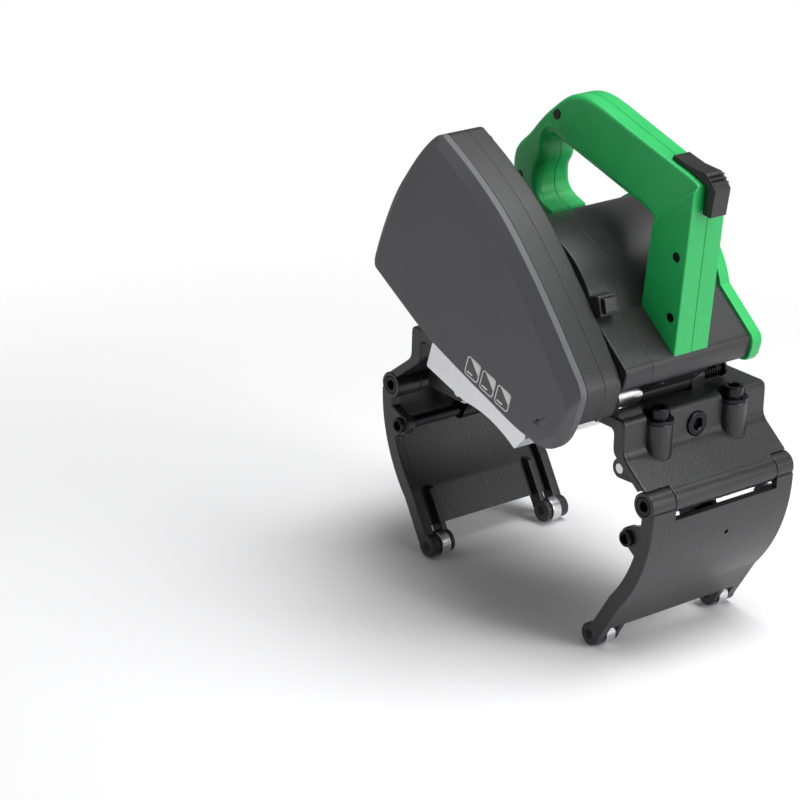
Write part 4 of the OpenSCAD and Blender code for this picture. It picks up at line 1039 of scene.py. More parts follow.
    def build(self, shop: Workshop) -> None:
        """Makes and dresses the guard's pieces."""
        seam = self.front + self.cover
        joint = seam + self.ring
        back = joint + self.casing
        unit = {"body": "saw_unit", "place": Place.UNIT}
        cover = self.front_cover()
        # The cover's face keeps the lighter grey while its rim and sides take the darker copy:
        # painted shade.
        shop.piece(
            "guard_cover", cover, GUARD_FACE, replaces=["guard_front_cover"], limit=30.0,
            side=GUARD_SHADED_SIDE, **unit
        )
        shop.piece("guard_marks", self.marks(), PRINT, **unit)
        shop.piece("guard_arrow", self.arrow(), BLACK_PLASTIC, **unit)
        ring = self.shell(seam, joint, 0.0)
        # The ring is drawn all in the darker copy of the guard's grey: painted shade.
        shop.piece(
            "guard_ring", ring, GUARD_SHADED_SIDE, replaces=["guard_middle_ring"], limit=30.0, **unit
        )
        casing = self.shell(joint, back, self.wall)
        lug_top = self.low_share * self.width + self.lug_t
        x, z = self.lug
        end = self.lug_at + self.lug_t
        lug = Solid.rod(at_y(self.lug, self.lug_at), self.lug_t, self.lug_r * 2, segments=40)
        stem = Solid.block((x - self.lug_r, self.lug_at, z), (x + self.lug_r, end, lug_top))
        foot = Solid.block(
            (x - self.lug_r, self.lug_at, lug_top - self.lug_t), (110.0, end, lug_top)
        )
        casing.add(lug, stem, foot)
        casing.cut(
            Solid.rod(at_y(self.lug, 10.0), 20.0, SMALL_BORE, segments=24),
            Solid.rod(at_y((0.0, 0.0), back - 5.0), 8.0, self.nose),
        )
        # The casing is drawn all in the darker copy of the guard's grey: painted shade.
        shop.piece(
            "guard_casing", casing, GUARD_SHADED_SIDE, replaces=["guard_rear_casing"], limit=30.0, **unit
        )
        shop.carry_over(DARK_STEEL, "guard_screws", "gear_screws")
        self.latch(shop)

    def latch(self, shop: Workshop) -> None:
        """The small lever that keeps the cover shut."""
        x, z = self.lug
        r, reach, front, back = self.lug_r, 16.0, 14.0, 19.0
        lever = [(x, z + r), (x - reach, z + r * 0.7), (x - reach, z - r * 0.3), (x, z - r)]
        lever = corner_cut(lever, {1: 1.6, 2: 1.2})
        solid = Solid.rod(at_y(self.lug, front), back - front, r * 2, 0.6, segments=40)
        solid.add(Solid.prism(lever, front + 0.3, back - 0.3, 0.4, 0.4))
        solid.cut(Solid.rod(at_y(self.lug, front - 2.0), 9.0, SMALL_BORE, segments=24))
        shop.piece(
            "cover_latch_lever", solid, BLACK_PLASTIC, "cover_latch", ["cover_latch"], Place.UNIT,
            limit=30.0
        )


@dataclass
class LowerGuard:
    """Steel plates that slide up round the pipe as the blade goes down."""

    plate: float = 2.0
    front: float = -4.5
    back: float = 3.0
    arm: float = 3.0
    reach: float = 111.3
    knuckle: float = 58.3
    knuckle_len: float = 24.0
    high: Point = (0.283, -0.258)
    low: Point = (0.25, -0.318)
    top: tuple[Point, ...] = ((-0.227, -0.311), (-0.227, -0.214), (0.277, -0.237))

    def pipe_centre(self) -> Point:
        """The pipe's axis in the unit frame."""
        c, s = math.cos(TILT), math.sin(TILT)
        return (PIVOT[0] - HINGE[0] * c + HINGE[1] * s, PIVOT[1] - HINGE[0] * s - HINGE[1] * c)

    def build(self, shop: Workshop) -> None:
        """Makes and dresses the lower guard."""
        high, low = (Vector(p) for p in scaled((self.high, self.low), GUARD_WIDTH))
        outline = scaled((*self.top, self.high, self.low), GUARD_WIDTH)
        outline = corner_cut(outline, {0: 2.0, 1: 3.0, 3: 1.5})
        front = Solid.prism(outline, self.front, self.front + self.plate)
        back = Solid.prism(outline, self.back, self.back + self.plate)
        way = (high - low).normalized()
        side = Vector((-way.y, way.x)) * self.arm
        end = self.knuckle + self.knuckle_len
        web = Solid.prism([tuple(p) for p in (low, high, high + side, low + side)], self.front, end)
        to_pin = (Vector(PIVOT) - low).normalized()
        half = Vector((-to_pin.y, to_pin.x)) * (self.arm / 2)
        pin = Vector(PIVOT)
        arm = Solid.prism(
            [tuple(p) for p in (low + side, low, pin - half, pin + half)], self.knuckle, end
        )
        hub = Solid.rod(at_y(PIVOT, self.knuckle), self.knuckle_len, BARREL)
        solid = front.add(back, web, arm, hub)
        solid.cut(
            Solid.rod(
                at_y(self.pipe_centre(), self.front - 2.0), end + 10.0 - self.front,
                self.reach * 2, segments=180,
            ),
            Solid.rod(at_y(PIVOT, self.knuckle - 1.0), self.knuckle_len + 2.0, AXLE_BORE),
        )
        shop.piece(
            "lower_guard_plates", solid, BRIGHT_STEEL, "lower_guard", ["lower_guard"], Place.UNIT,
            32.0
        )


@dataclass
class BladeSet:
    """Blade, flanges, spindle and gear train, which keep their CAD shapes."""

    steel: tuple[str, ...] = (
        "outer_flange", "inner_flange", "spindle", "spindle_bearings", "motor_bearings",
    )

    def build(self, shop: Workshop) -> None:
        """Dresses the carried-over nodes."""
        shop.carry_over(BLADE_STEEL, "saw_blade")
        shop.carry_over(BRIGHT_STEEL, *self.steel)
        shop.carry_over(DARK_STEEL, "blade_bolt", "driven_gear", "motor_pinion")


@dataclass
class Motor:
    """Gear case, motor housing, rear cover and what turns inside them."""

    radius: float = 72.0
    centre: Point = (7.0, 6.0)
    case_front: float = 32.0
    case_len: float = 27.7
    motor_len: float = 101.0
    cover_len: float = 11.5
    cover_proud: float = 2.5
    wall: float = 3.5
    motor_axis: Point = (23.62, 24.46)
    lock_turn: float = 32.2
    lock_place: float = 40.5
    lock_disc: float = 14.6
    lock_head: Point = (52.0, 60.0)
    lock_half: float = 6.0
    shaft_bore: float = 24.1
    seat_bore: float = 30.1
    webs: tuple[Point, ...] = ((84.7, 80.1), (116.7, 80.1), (145.7, 54.0))
    wing_shares: list[Point] = field(default_factory=lambda: [
        (1.53, 0.355), (1.57, 0.335), (1.6, 0.29), (1.611, 0.24), (1.611, 0.13), (1.59, 0.08),
        (1.55, 0.055), (0.625, -0.236), (0.208, -0.444), (-0.486, -0.444),
    ])

    def outline(self) -> Outline:
        """Round back and wing of the housings."""
        back = arc(self.centre, self.radius, 192, 31, 84)
        wing = scaled(self.wing_shares, self.radius)
        wing = corner_cut([back[-1], *wing, back[0]], {1: 1.2, 8: 6.0, 9: 6.0, 10: 5.0})[1:-1]
        return back + wing

    def gear_case(self) -> Solid:
        """The gear case with the collar of the spindle lock."""
        outline = self.outline()
        y0, y1 = self.case_front, self.case_front + self.case_len
        case = Solid.prism(outline, y0, y1, 1.2, 0.5)
        case.cut(Solid.prism(inset(outline, self.wall), y0 + self.wall, y1 + 1.0))
        collar = Solid.block((43.0, -8.3, -8.3), (56.0, 8.3, 8.3), 1.2).moved(self.lock_frame())
        seat = Solid.rod(at_y((0.0, 0.0), y0), 10.5, 36.0)
        case.add(collar, seat)
        room = Solid.block((48.2, -6.3, -6.3), (68.0, 6.3, 6.3)).moved(self.lock_frame())
        return case.cut(
            room,
            Solid.rod(at_y((0.0, 0.0), y0 - 1.0), 14.0, BARREL),
            Solid.rod(at_y((0.0, 0.0), y0 + 4.5), 7.0, self.seat_bore),
        )

    def lock_frame(self) -> Matrix:
        """The frame whose X axis runs along the lock pin, in the unit frame."""
        place = Matrix.Translation((self.motor_axis[0], self.lock_place, self.motor_axis[1]))
        return place @ Matrix.Rotation(math.radians(-self.lock_turn), 4, "Y")

    def housing(self) -> Solid:
        """The motor housing with its front wall and stiffening webs."""
        outline = self.outline()
        y0 = self.case_front + self.case_len
        y1 = y0 + self.motor_len
        shell = Solid.prism(outline, y0, y1, 0.5, 0.5)
        inner = inset(outline, self.wall)
        shell.cut(Solid.prism(inner, y0 + 4.0, y1 + 1.0))
        for y, bore in self.webs:
            web = Solid.prism(inset(outline, self.wall - 0.2), y, y + 4.0)
            web.cut(Solid.rod(at_y(self.motor_axis, y - 1.0), 6.0, bore))
            shell.add(web)
        shell.cut(
            Solid.rod(at_y(self.motor_axis, y0 - 1.0), 7.0, self.shaft_bore),
            Solid.rod(at_y((0.0, 0.0), y0 - 1.0), 3.0, self.seat_bore),
        )
        return shell

    def rear_cover(self) -> Solid:
        """The green rear cover with air slots and the rear bearing's seat."""
        outline = self.outline()
        y0 = self.case_front + self.case_len + self.motor_len
        y1 = y0 + self.cover_len
        cover = Solid.prism(inset(outline, -self.cover_proud), y0, y1, 0.8, 3.0)
        cover.cut(Solid.prism(inset(outline, self.wall), y0 - 1.0, y1 - self.wall))
        seat = Solid.rod(at_y(self.motor_axis, y0 - 6.6), 6.6 + self.cover_len - 2.0, 30.0)
        cover.add(seat)
        slots = []
        for i in range(6):
            x, z = self.centre[0] - self.radius * 0.55 + i * 7.0, self.centre[1] + self.radius * 0.2
            slots.append(
                Solid.block((x, y0 - 1.0, z), (x + 3.0, y1 + 1.0, z + self.radius * 0.35), 0.0)
            )
        return cover.cut(Solid.rod(at_y(self.motor_axis, y0 - 8.0), 8.0, self.shaft_bore), *slots)

    def build(self, shop: Workshop) -> None:
        """Makes and dresses the motor's pieces."""
        unit = {"body": "saw_unit", "place": Place.UNIT, "limit": 30.0}
        shop.piece("gear_case_shell", self.gear_case(), GEAR_METAL, replaces=["gear_case"], **unit)
        shop.piece(
            "motor_housing_shell", self.housing(), MOTOR_PLASTIC, replaces=["motor_housing"], **unit
        )
        shop.piece(
            "rear_cover_shell", self.rear_cover(), GREEN_PLASTIC, replaces=["rear_cover"], **unit
        )
        (start, end), h = self.lock_head, self.lock_half
        button = Solid.block((start, -h, -h), (end, h, h), 0.9)
        stem = Solid.rod(at_x(self.lock_disc, 0.0, 0.0), 38.0, 5.0, 0.4, segments=32)
        button.add(stem).moved(self.lock_frame())
        shop.piece(
            "spindle_lock_button", button, BLACK_PLASTIC, "spindle_lock", ["spindle_lock"],
            Place.UNIT, limit=30.0
        )
        shop.carry_over(IRON, "armature", "stator")
        shop.carry_over(BLACK_PLASTIC, "cooling_fan")
        shop.carry_over(CARBON, "carbon_brushes")
        shop.carry_over(BRONZE, "brush_bridge")


@dataclass(frozen=True)
class Station:
    """A section across the handle's loop.

    Attributes:
        outer: Point on the outer edge, as shares of the handle's height.
        inner: Point on the hand hole's edge, likewise.
        lean: How far the side falls back at the outer edge.
        round_out: Radius of the outer edge.
        round_in: Radius of the hole's edge.
    """

    outer: Point
    inner: Point
    lean: float
    round_out: float
    round_in: float


@dataclass
class Handle:
    """Two moulded halves of the grip with the slide switch."""

    height: float = 158.0
    middle: float = 99.0
    width: float = 36.0
    screws: tuple[Point, ...] = ((-0.58, 0.4), (-0.44, 0.83), (0.55, 0.62), (0.62, 0.32))
    stations: list[Station] = field(default_factory=lambda: [
        Station((-0.40, 0.06), (-0.20, 0.22), 1.0, 3.0, 1.5),
        Station((-0.494, 0.114), (-0.262, 0.302), 1.0, 4.0, 1.5),
        Station((-0.56, 0.2), (-0.3, 0.362), 1.5, 6.0, 2.0),
        Station((-0.633, 0.304), (-0.39, 0.372), 2.0, 8.0, 4.0),
        Station((-0.665, 0.39), (-0.425, 0.4), 2.0, 9.0, 7.0),
        Station((-0.684, 0.481), (-0.446, 0.45), 2.0, 9.0, 8.0),
        Station((-0.668, 0.54), (-0.456, 0.5), 2.0, 9.0, 8.0),
        Station((-0.638, 0.59), (-0.445, 0.55), 2.0, 9.0, 8.0),
        Station((-0.601, 0.652), (-0.45, 0.6), 2.0, 9.0, 8.0),
        Station((-0.565, 0.722), (-0.465, 0.64), 2.0, 8.5, 8.0),
        Station((-0.525, 0.797), (-0.46, 0.69), 2.5, 8.0, 8.0),
        Station((-0.449, 0.911), (-0.43, 0.713), 3.0, 7.0, 8.0),
        Station((-0.4, 0.958), (-0.39, 0.713), 3.5, 6.0, 8.0),
        Station((-0.33, 0.993), (-0.345, 0.713), 4.0, 5.0, 8.0),
        Station((-0.247, 1.006), (-0.25, 0.713), 4.5, 3.0, 8.0),
        Station((0.0, 1.0045), (0.0, 0.713), 5.0, 2.0, 8.0),
        Station((0.3, 1.003), (0.24, 0.713), 5.5, 2.0, 8.0),
        Station((0.5, 1.002), (0.33, 0.71), 5.5, 2.0, 6.0),
        Station((0.532, 0.995), (0.345, 0.704), 5.0, 2.0, 4.0),
        Station((0.542, 0.97), (0.348, 0.69), 0.6, 1.2, 2.0),
        Station((0.56, 0.885), (0.353, 0.655), 0.5, 1.2, 2.0),
        Station((0.62, 0.6), (0.378, 0.5), 0.5, 1.2, 2.0),
        Station((0.67, 0.365), (0.403, 0.37), 0.5, 1.2, 2.0),
        Station((0.7, 0.222), (0.416, 0.29), 0.5, 1.2, 2.0),
        Station((0.714, 0.156), (0.42, 0.24), 0.5, 1.2, 2.0),
        Station((0.66, 0.132), (0.45, 0.2), 0.5, 1.2, 2.0),
    ])

    def section(self, spot: Station, half: int) -> list[Vector]:
        """The closed section of one half at a station.

        Args:
            spot: The station, with its points in millimetres.
            half: -1 for the front half, 1 for the rear half.

        Returns:
            Points of the section.
        """
        a, b = Vector((spot.outer[0], 0.0, spot.outer[1])), Vector(
            (spot.inner[0], 0.0, spot.inner[1])
        )
        along, length = (b - a).normalized(), (b - a).length
        depth = self.width / 2
        seam, lip = 0.12, 0.45
        profile = [(lip, seam), (0.0, seam + lip)]
        out = min(spot.round_out, length * 0.3)
        turns = [math.radians(18 * k) for k in range(6)]
        high = depth - spot.lean
        profile += [(out - out * math.cos(t), high - out + out * math.sin(t)) for t in turns]
        r = min(spot.round_in, length * 0.4)
        profile += [(length - r + r * math.sin(t), depth - r + r * math.cos(t)) for t in turns]
        profile += [(length, seam + lip), (length - lip, seam)]
        return [a + along * u + Vector((0.0, self.middle + half * w, 0.0)) for u, w in profile]

    def path(self) -> list[Station]:
        """Stations filled in along smooth edges, with a crease where the leg starts."""
        creases = {18: 0.0, 19: 0.0, 24: 0.0}
        outer = curve_through(
            scaled([s.outer for s in self.stations], self.height), creases, 3, False
        )
        inner_creases = {1: 0.0, 2: 0.0, 18: 0.0, 19: 0.0, 24: 0.0}
        inner = curve_through(
            scaled([s.inner for s in self.stations], self.height), inner_creases, 3, False
        )
        spots = []
        for k, (a, b) in enumerate(zip(outer, inner)):
            i = min(k // 3, len(self.stations) - 2)
            t = (k - 3 * i) / 3
            s, n = self.stations[i], self.stations[i + 1]
            spots.append(Station(
                a, b, s.lean + (n.lean - s.lean) * t,
                s.round_out + (n.round_out - s.round_out) * t,
                s.round_in + (n.round_in - s.round_in) * t,
            ))
        return spots

    def half(self, side: int, housing: Outline) -> Solid:
        """One half of the handle, cut where it sits on the housing."""
        shell = Solid.from_rings([self.section(spot, side) for spot in self.path()])
        depth = self.width / 2 + 2.0
        shell.cut(Solid.prism(housing, self.middle - depth, self.middle + depth))
        pockets = []
        if side < 0:
            for place in scaled(self.screws, self.height):
                pockets.append(Solid.rod(at_y(place, self.middle - depth), 6.3, 8.0, segments=32))
        return shell.cut(*pockets) if pockets else shell

    def switch(self) -> Solid:
        """The slide switch: a sloping cap over the corner with three grip ridges."""
        h = self.height
        cap = scaled([
            (0.3, 1.006), (0.305, 1.03), (0.42, 1.034), (0.53, 1.058), (0.612, 1.012), (
                0.632, 0.872
            ),
            (0.575, 0.862), (0.549, 1.0), (0.5, 1.007),
        ], h)
        cap = corner_cut(cap, {1: 1.2, 3: 1.0, 4: 1.5, 5: 1.0, 6: 0.6})
        solid = Solid.prism(cap, self.middle - 8.0, self.middle + 8.0, 0.6, 0.6)
        for i in range(3):
            x, z = (0.545 + i * 0.02) * h, (1.05 - i * 0.0115) * h
            foot = [(x, z - 2.0), (x + 1.5, z - 2.0), (x + 1.2, z + 1.4), (x + 0.3, z + 1.4)]
            ridge = Solid.prism(foot, self.middle - 7.4, self.middle + 7.4, 0.2, 0.2)
            solid.add(ridge)
        x, w = 0.39 * h + 0.3, 2.5
        stem = Solid.block((x, self.middle - w, h - 7.7), (x + 8.0, self.middle + w, h + w))
        return solid.add(stem)

    def build(self, shop: Workshop, housing: Outline) -> None:
        """Makes and dresses the handle's pieces."""
        unit = {"body": "saw_unit", "place": Place.UNIT, "limit": 27.0}
        shop.piece(
            "handle_front", self.half(-1, housing), GREEN_PLASTIC, replaces=["handle_front_half"],
            **unit
        )
        shop.piece(
            "handle_rear", self.half(1, housing), GREEN_PLASTIC, replaces=["handle_rear_half"],
            **unit
        )
        shop.piece(
            "switch_cap", self.switch(), BLACK_PLASTIC, "power_switch", ["power_switch"],
            Place.UNIT, limit=30.0
        )
        shop.carry_over(DARK_STEEL, "handle_screws")
        shop.carry_over(BLACK_PLASTIC, "switch_body")


def hexagon(at: Matrix, low: float, high: float, across: float) -> Solid:
    """A six-sided bar between two heights of a frame, for cutting sockets."""
    corner = across / math.sqrt(3)
    return Solid.turned([(0.0, low), (corner, low), (corner, high), (0.0, high)], at, 6)


def cap_screw(
    at: Matrix,
    shaft: float,
    diameter: float,
    head: float,
    height: float,
    socket: float,
    deep: float,
) -> Solid:
    """A cap screw whose head stands on a frame's origin and whose shaft runs back.

    Args:
        at: The frame, with its Z axis out of the head.
        shaft: Length of the shaft.
        diameter: Diameter of the shaft.
        head: Diameter of the head.
        height: Height of the head.
        socket: Width of the six-sided socket.
        deep: Depth of the socket.

    Returns:
        The screw.
    """
    r, h, e = diameter / 2, head / 2, min(1.1, height * 0.22)
    profile = [
        (0.0, -shaft), (r - 0.6, -shaft), (r, 0.6 - shaft), (r, 0.0), (h - 0.3, 0.0), (h, 0.3)
    ]
    for k in range(4):
        t = math.radians(30 * k)
        profile.append((h - e + e * math.cos(t), height - e + e * math.sin(t)))
    profile.append((0.0, height))
    mouth = Solid.turned(
        [
            (0.0, height - 0.5), (socket * 0.5, height - 0.5), (socket * 0.64, height + 0.3),
            (0.0, height + 0.3)
        ], at, 32
    )
    return Solid.turned(profile, at, 48).cut(
        hexagon(at, height - deep, height + 1.0, socket), mouth
    )


@dataclass
class Clamp:
    """Cast body with its bolted roller yokes and the jaws' hinge pins."""

    front: float = CLAMP_FRONT
    back: float = CLAMP_BACK
    half: float = 129.0
    hinge: Point = JAW_HINGE
    knuckle: float = KNUCKLE
    knuckle_from: float = 71.3
    knuckle_to: float = 178.7
    posts: tuple[float, float] = POST_PLACES
    post_x: float = 128.5
    post_top: float = 117.0
    post_foot: float = 87.0
    post_d: float = 23.0
    washer_t: float = 2.5
    washer_d: float = 24.0
    ear: float = BARREL
    roller_axis: Point = ROLLER_AXIS
    screw: Point = (123.0, 105.5)

    def profile(self) -> Outline:
        """Section of the cast body: a flat top, two walls and two sloping wings."""
        right = [
            (129.0, 124.0), (129.0, 95.5), (160.70, 71.30), (155.84, 64.95), (117.0, 94.65),
            (117.0, 114.0)
        ]
        radii = [6.0, 6.0, 2.0, 2.0, 5.0, 5.0]
        return corner_cut(right + flipped(right), dict(enumerate(radii + radii[::-1])), 5)

    def _added(self) -> list[Solid]:
        """What stands on the right half of the body."""
        knuckle = Solid.rod(
            at_y(self.hinge, self.knuckle_from), self.knuckle_to - self.knuckle_from, self.knuckle,
            1.0
        )
        parts = [knuckle]
        for y in self.posts:
            post = Solid.rod(
                at_z(self.post_x, y, self.post_foot), self.post_top - self.post_foot, self.post_d,
                1.4
            )
            parts.append(post.cut(Solid.block((100.0, y - 15.0, 80.0), (117.2, y + 15.0, 120.0))))
        parts.append(Solid.block((44.0, 110.0, 97.5), (54.0, 136.0, 119.0), 1.0))
        return parts

    def _removed(self) -> list[Solid]:
        """What is taken out of the right half of the body."""
        y, z = self.screw
        parts = [
            Solid.rod(
                at_y(self.hinge, self.front - 2.0), self.knuckle_from - self.front + 2.0, 24.4
            ),
            Solid.rod(at_y(self.hinge, self.knuckle_to), self.back - self.knuckle_to + 2.0, 24.4),
            Solid.rod(at_y(self.hinge, self.front - 2.0), self.back - self.front + 4.0, SCREW_BORE),
            Solid.block((54.0, 106.0, 113.0), (117.2, 140.0, 117.5)),
            Solid.block((116.0, 106.0, 81.65), (121.5, 140.0, 114.0)),
            Solid.rod(at_x(40.0, y, z), 100.0, 12.1),
            Solid.rod(at_x(self.half - 3.0, y, z), 20.0, 20.6),
        ]
        for at in self.posts:
            parts.append(Solid.rod(at_z(self.post_x, at, 80.0), 60.0, SCREW_BORE))
            parts.append(Solid.rod(at_z(self.post_x, at, self.post_top), 20.0, 25.0))
        return parts

    def casting(self) -> Solid:
        """The cast body with its ears for the saw unit's hinge."""
        solid = Solid.prism(self.profile(), self.front, self.back, 1.6, 1.6)
        added = self._added()
        removed = self._removed()
        mirrored_added = [part.mirrored() for part in added]
        mirrored_removed = [part.mirrored() for part in removed]
        x, z = HINGE
        ears = []
        for y0, y1 in ((47.0, 58.0), (134.6, 148.3)):
            ears.append(Solid.block((x - 9.0, y0, 115.0), (x + 9.0, y1, z)))
            ears.append(Solid.rod(at_y(HINGE, y0), y1 - y0, self.ear, 0.8))
        solid.add(*added, *mirrored_added, *ears)
        slot = Solid.block((57.0, 58.0, 90.0), (103.0, 82.6, 130.0))
        room = Solid.rod(at_y(HINGE, 58.0), 76.6, 20.0)
        bore = Solid.rod(at_y(HINGE, 40.0), 120.0, AXLE_BORE)
        return solid.cut(*removed, *mirrored_removed, slot, room, bore)

    def yokes(self) -> Solid:
        """Four yokes that hang under the body's corners, each with a slot for its roller."""
        x, z = self.roller_axis
        outline = corner_cut(
            [
                (x, z + 8.0), (119.5, 92.7), (136.5, 79.7), (136.5, 62.0), (119.5, 62.0),
                (x, z - 8.0)
            ],
            {2: 2.0, 3: 3.0, 4: 3.0}, 3,
        )
        both: Solid | None = None
        for y in self.posts:
            yoke = Solid.prism(outline, y - 9.8, y + 9.8, 0.8, 0.8)
            yoke.add(Solid.rod(at_y((x, z), y - 9.8), 19.6, 16.0, 0.8))
            yoke.cut(
                Solid.block((70.0, y - 4.8, 40.0), (x + 11.2, y + 4.8, 120.0)),
                Solid.rod(at_y((x, z), y - 12.0), 24.0, AXLE_BORE, segments=40),
                Solid.rod(at_z(self.post_x, y, 50.0), 60.0, SCREW_BORE, segments=40),
            )
            both = yoke if both is None else both.beside(yoke)
        return both.with_mirror()

    def screws(self) -> Solid:
        """The four screws that hold the yokes."""
        solid: Solid | None = None
        for y in self.posts:
            at = at_z(self.post_x, y, self.post_top + self.washer_t)
            screw = cap_screw(at, 51.5, 10.0, 16.0, 9.0, 9.0, 5.0)
            solid = screw if solid is None else solid.beside(screw)
        return solid.with_mirror()

    def washers(self) -> Solid:
        """The washers under the yokes' screws."""
        frames = [at_z(self.post_x, y, self.post_top) for y in self.posts]
        rings = [Solid.rod(at, self.washer_t, self.washer_d, 0.4, 10.2) for at in frames]
        return rings[0].beside(*rings[1:]).with_mirror()

    def pins(self) -> Solid:
        """The jaws' hinge pins with their sunk heads."""
        at = to_front(self.hinge, self.front + 5.0)
        return cap_screw(at, self.back - self.front - 5.0, 10.0, 15.5, 5.0, 8.0, 4.2).with_mirror()

    def build(self, shop: Workshop) -> None:
        """Makes and dresses the clamp's fixed pieces."""
        shop.piece("clamp_casting", self.casting(), CAST_BLACK, "clamp", ["clamp_body"], limit=40.0)
        shop.piece(
            "roller_yoke_set", self.yokes(), CAST_BLACK, "clamp", ["roller_yokes"], limit=40.0
        )
        shop.piece(
            "yoke_screw_set", self.screws(), DARK_STEEL, "clamp", ["post_screws"], limit=30.0
        )
        shop.piece(
            "yoke_washer_set", self.washers(), DARK_STEEL, "clamp", ["post_washers"], limit=30.0
        )
        shop.piece("jaw_pin_set", self.pins(), DARK_STEEL, "clamp", ["jaw_pins"], limit=30.0)
        shop.carry_over(BRIGHT_STEEL, "yoke_axles")


@dataclass
class Jaws:
    """The two swinging jaws, their cross bolts and roller axles."""

    front: float = CLAMP_FRONT
    back: float = CLAMP_BACK
    hinge: Point = JAW_HINGE
    centre: Point = (29.1, 58.1)
    radius: float = 136.5
    bend: float = -41.0
    tip: Point = JAW_TIP
    tip_r: float = 9.5
    lug: Point = (139.7, 32.2)
    lug_r: float = 8.5
    rib: float = 9.0
    band: float = 13.0
    plate: float = 6.0
    cheeks: tuple[float, float] = (65.6, 173.4)
    cheek_t: float = 5.0
    peep: tuple[float, float, float] = (140.0, 131.0, 23.5)

    def strip(self, depth: float, share: float) -> Outline:
        """The curved and straight band of a jaw.

        Args:
            depth: Thickness of the band.
            share: Share of the straight part that it covers.

        Returns:
            The band's outline.
        """
        turn = math.radians(self.bend)
        knee = Vector(self.centre) + Vector((math.cos(turn), math.sin(turn))) * self.radius
        way = (knee - Vector(self.tip)).normalized()
        straight = Vector(self.tip) + Vector((way.y, -way.x)) * (self.tip_r - 0.5) - knee
        low = knee + straight * share
        inner = low + Vector((straight.y, -straight.x)).normalized() * depth
        return (
            [self.hinge] + arc(self.centre, self.radius, 0.0, self.bend, 28)
            + [(low.x, low.y), (inner.x, inner.y)]
            + arc(self.centre, self.radius - depth, self.bend, 0.0, 28)
        )

    def side(self, y0: float, y1: float, edge: float) -> Solid:
        """A full rib of the jaw between two places along Y."""
        wide = self.centre[0] + self.radius - self.band
        web = [
            (self.lug[0], self.lug[1] + self.lug_r), (wide + 1.0, 46.0),
            (wide + 1.0, 14.0), (self.lug[0], self.lug[1] - self.lug_r),
        ]
        length = y1 - y0
        rib = Solid.prism(self.strip(self.band, 1.0), y0, y1, edge, edge)
        return rib.add(
            Solid.rod(at_y(self.tip, y0), length, self.tip_r * 2, edge),
            Solid.rod(at_y(self.hinge, y0), length, KNUCKLE, edge),
            Solid.rod(at_y(self.lug, y0), length, self.lug_r * 2, edge),
            Solid.prism(web, y0, y1, edge, edge),
        )

    def casting(self) -> Solid:
        """The right jaw."""
        solid = Solid.prism(self.strip(self.plate, 0.62), self.front + 1.0, self.back - 1.0)
        solid.cut(Solid.block((100.0, 71.0, 49.5), (200.0, 179.0, 100.0)))
        cheeks = []
        for y in self.cheeks:
            cheek = self.side(y, y + self.cheek_t, 0.5)
            cheeks.append(cheek.cut(Solid.block((50.0, y - 1.0, -24.0), (220.0, y + 6.0, 100.0))))
        solid.add(
            self.side(self.front, self.front + self.rib, 1.2),
            self.side(self.back - self.rib, self.back, 1.2),
            Solid.rod(at_y(self.hinge, self.front), 24.0, KNUCKLE, 1.0),
            Solid.rod(at_y(self.hinge, self.back - 18.0), 18.0, KNUCKLE, 1.0),
            *cheeks,
        )
        length = self.back - self.front + 4.0
        return solid.cut(
            Solid.rod(at_y(self.hinge, self.front - 2.0), length, SCREW_BORE),
            Solid.rod(at_y(self.hinge, self.front - 2.0), 7.3, 16.1),
            Solid.rod(at_y(self.tip, self.front - 2.0), length, AXLE_BORE),
            Solid.rod(at_y(self.lug, self.front - 2.0), length, SCREW_BORE),
            Solid.rod(at_x(*self.peep), 40.0, 4.0, segments=24),
        )

    def bolt(self) -> Solid:
        """The cross bolt at the lugs."""
        at = to_front(self.lug, self.front)
        return cap_screw(at, self.back - self.front, 10.0, 13.0, 4.0, 8.0, 3.4)

    def axles(self) -> Solid:
        """The two roller axles at the tip."""
        span, width = self.cheeks[0] + self.cheek_t - self.front, 8.0
        front = Solid.rod(at_y(self.tip, self.front), span, width, 0.5, segments=40)
        back = Solid.rod(at_y(self.tip, self.cheeks[1]), span, width, 0.5, segments=40)
        return front.beside(back)

    def build(self, shop: Workshop) -> None:
        """Makes and dresses both jaws."""
        for side in ("right", "left"):
            body = f"{side}_jaw"
            made = {
                "casting": (self.casting(), CAST_BLACK, f"jaw_{side}"),
                "bolt": (self.bolt(), DARK_STEEL, f"jaw_bolt_{side}"),
                "axles": (self.axles(), DARK_STEEL, f"jaw_axles_{side}"),
            }
            for label, (solid, finish, node) in made.items():
                shape = solid if side == "right" else solid.mirrored()
                shop.piece(f"{side}_jaw_{label}", shape, finish, body, [node], limit=35.0)


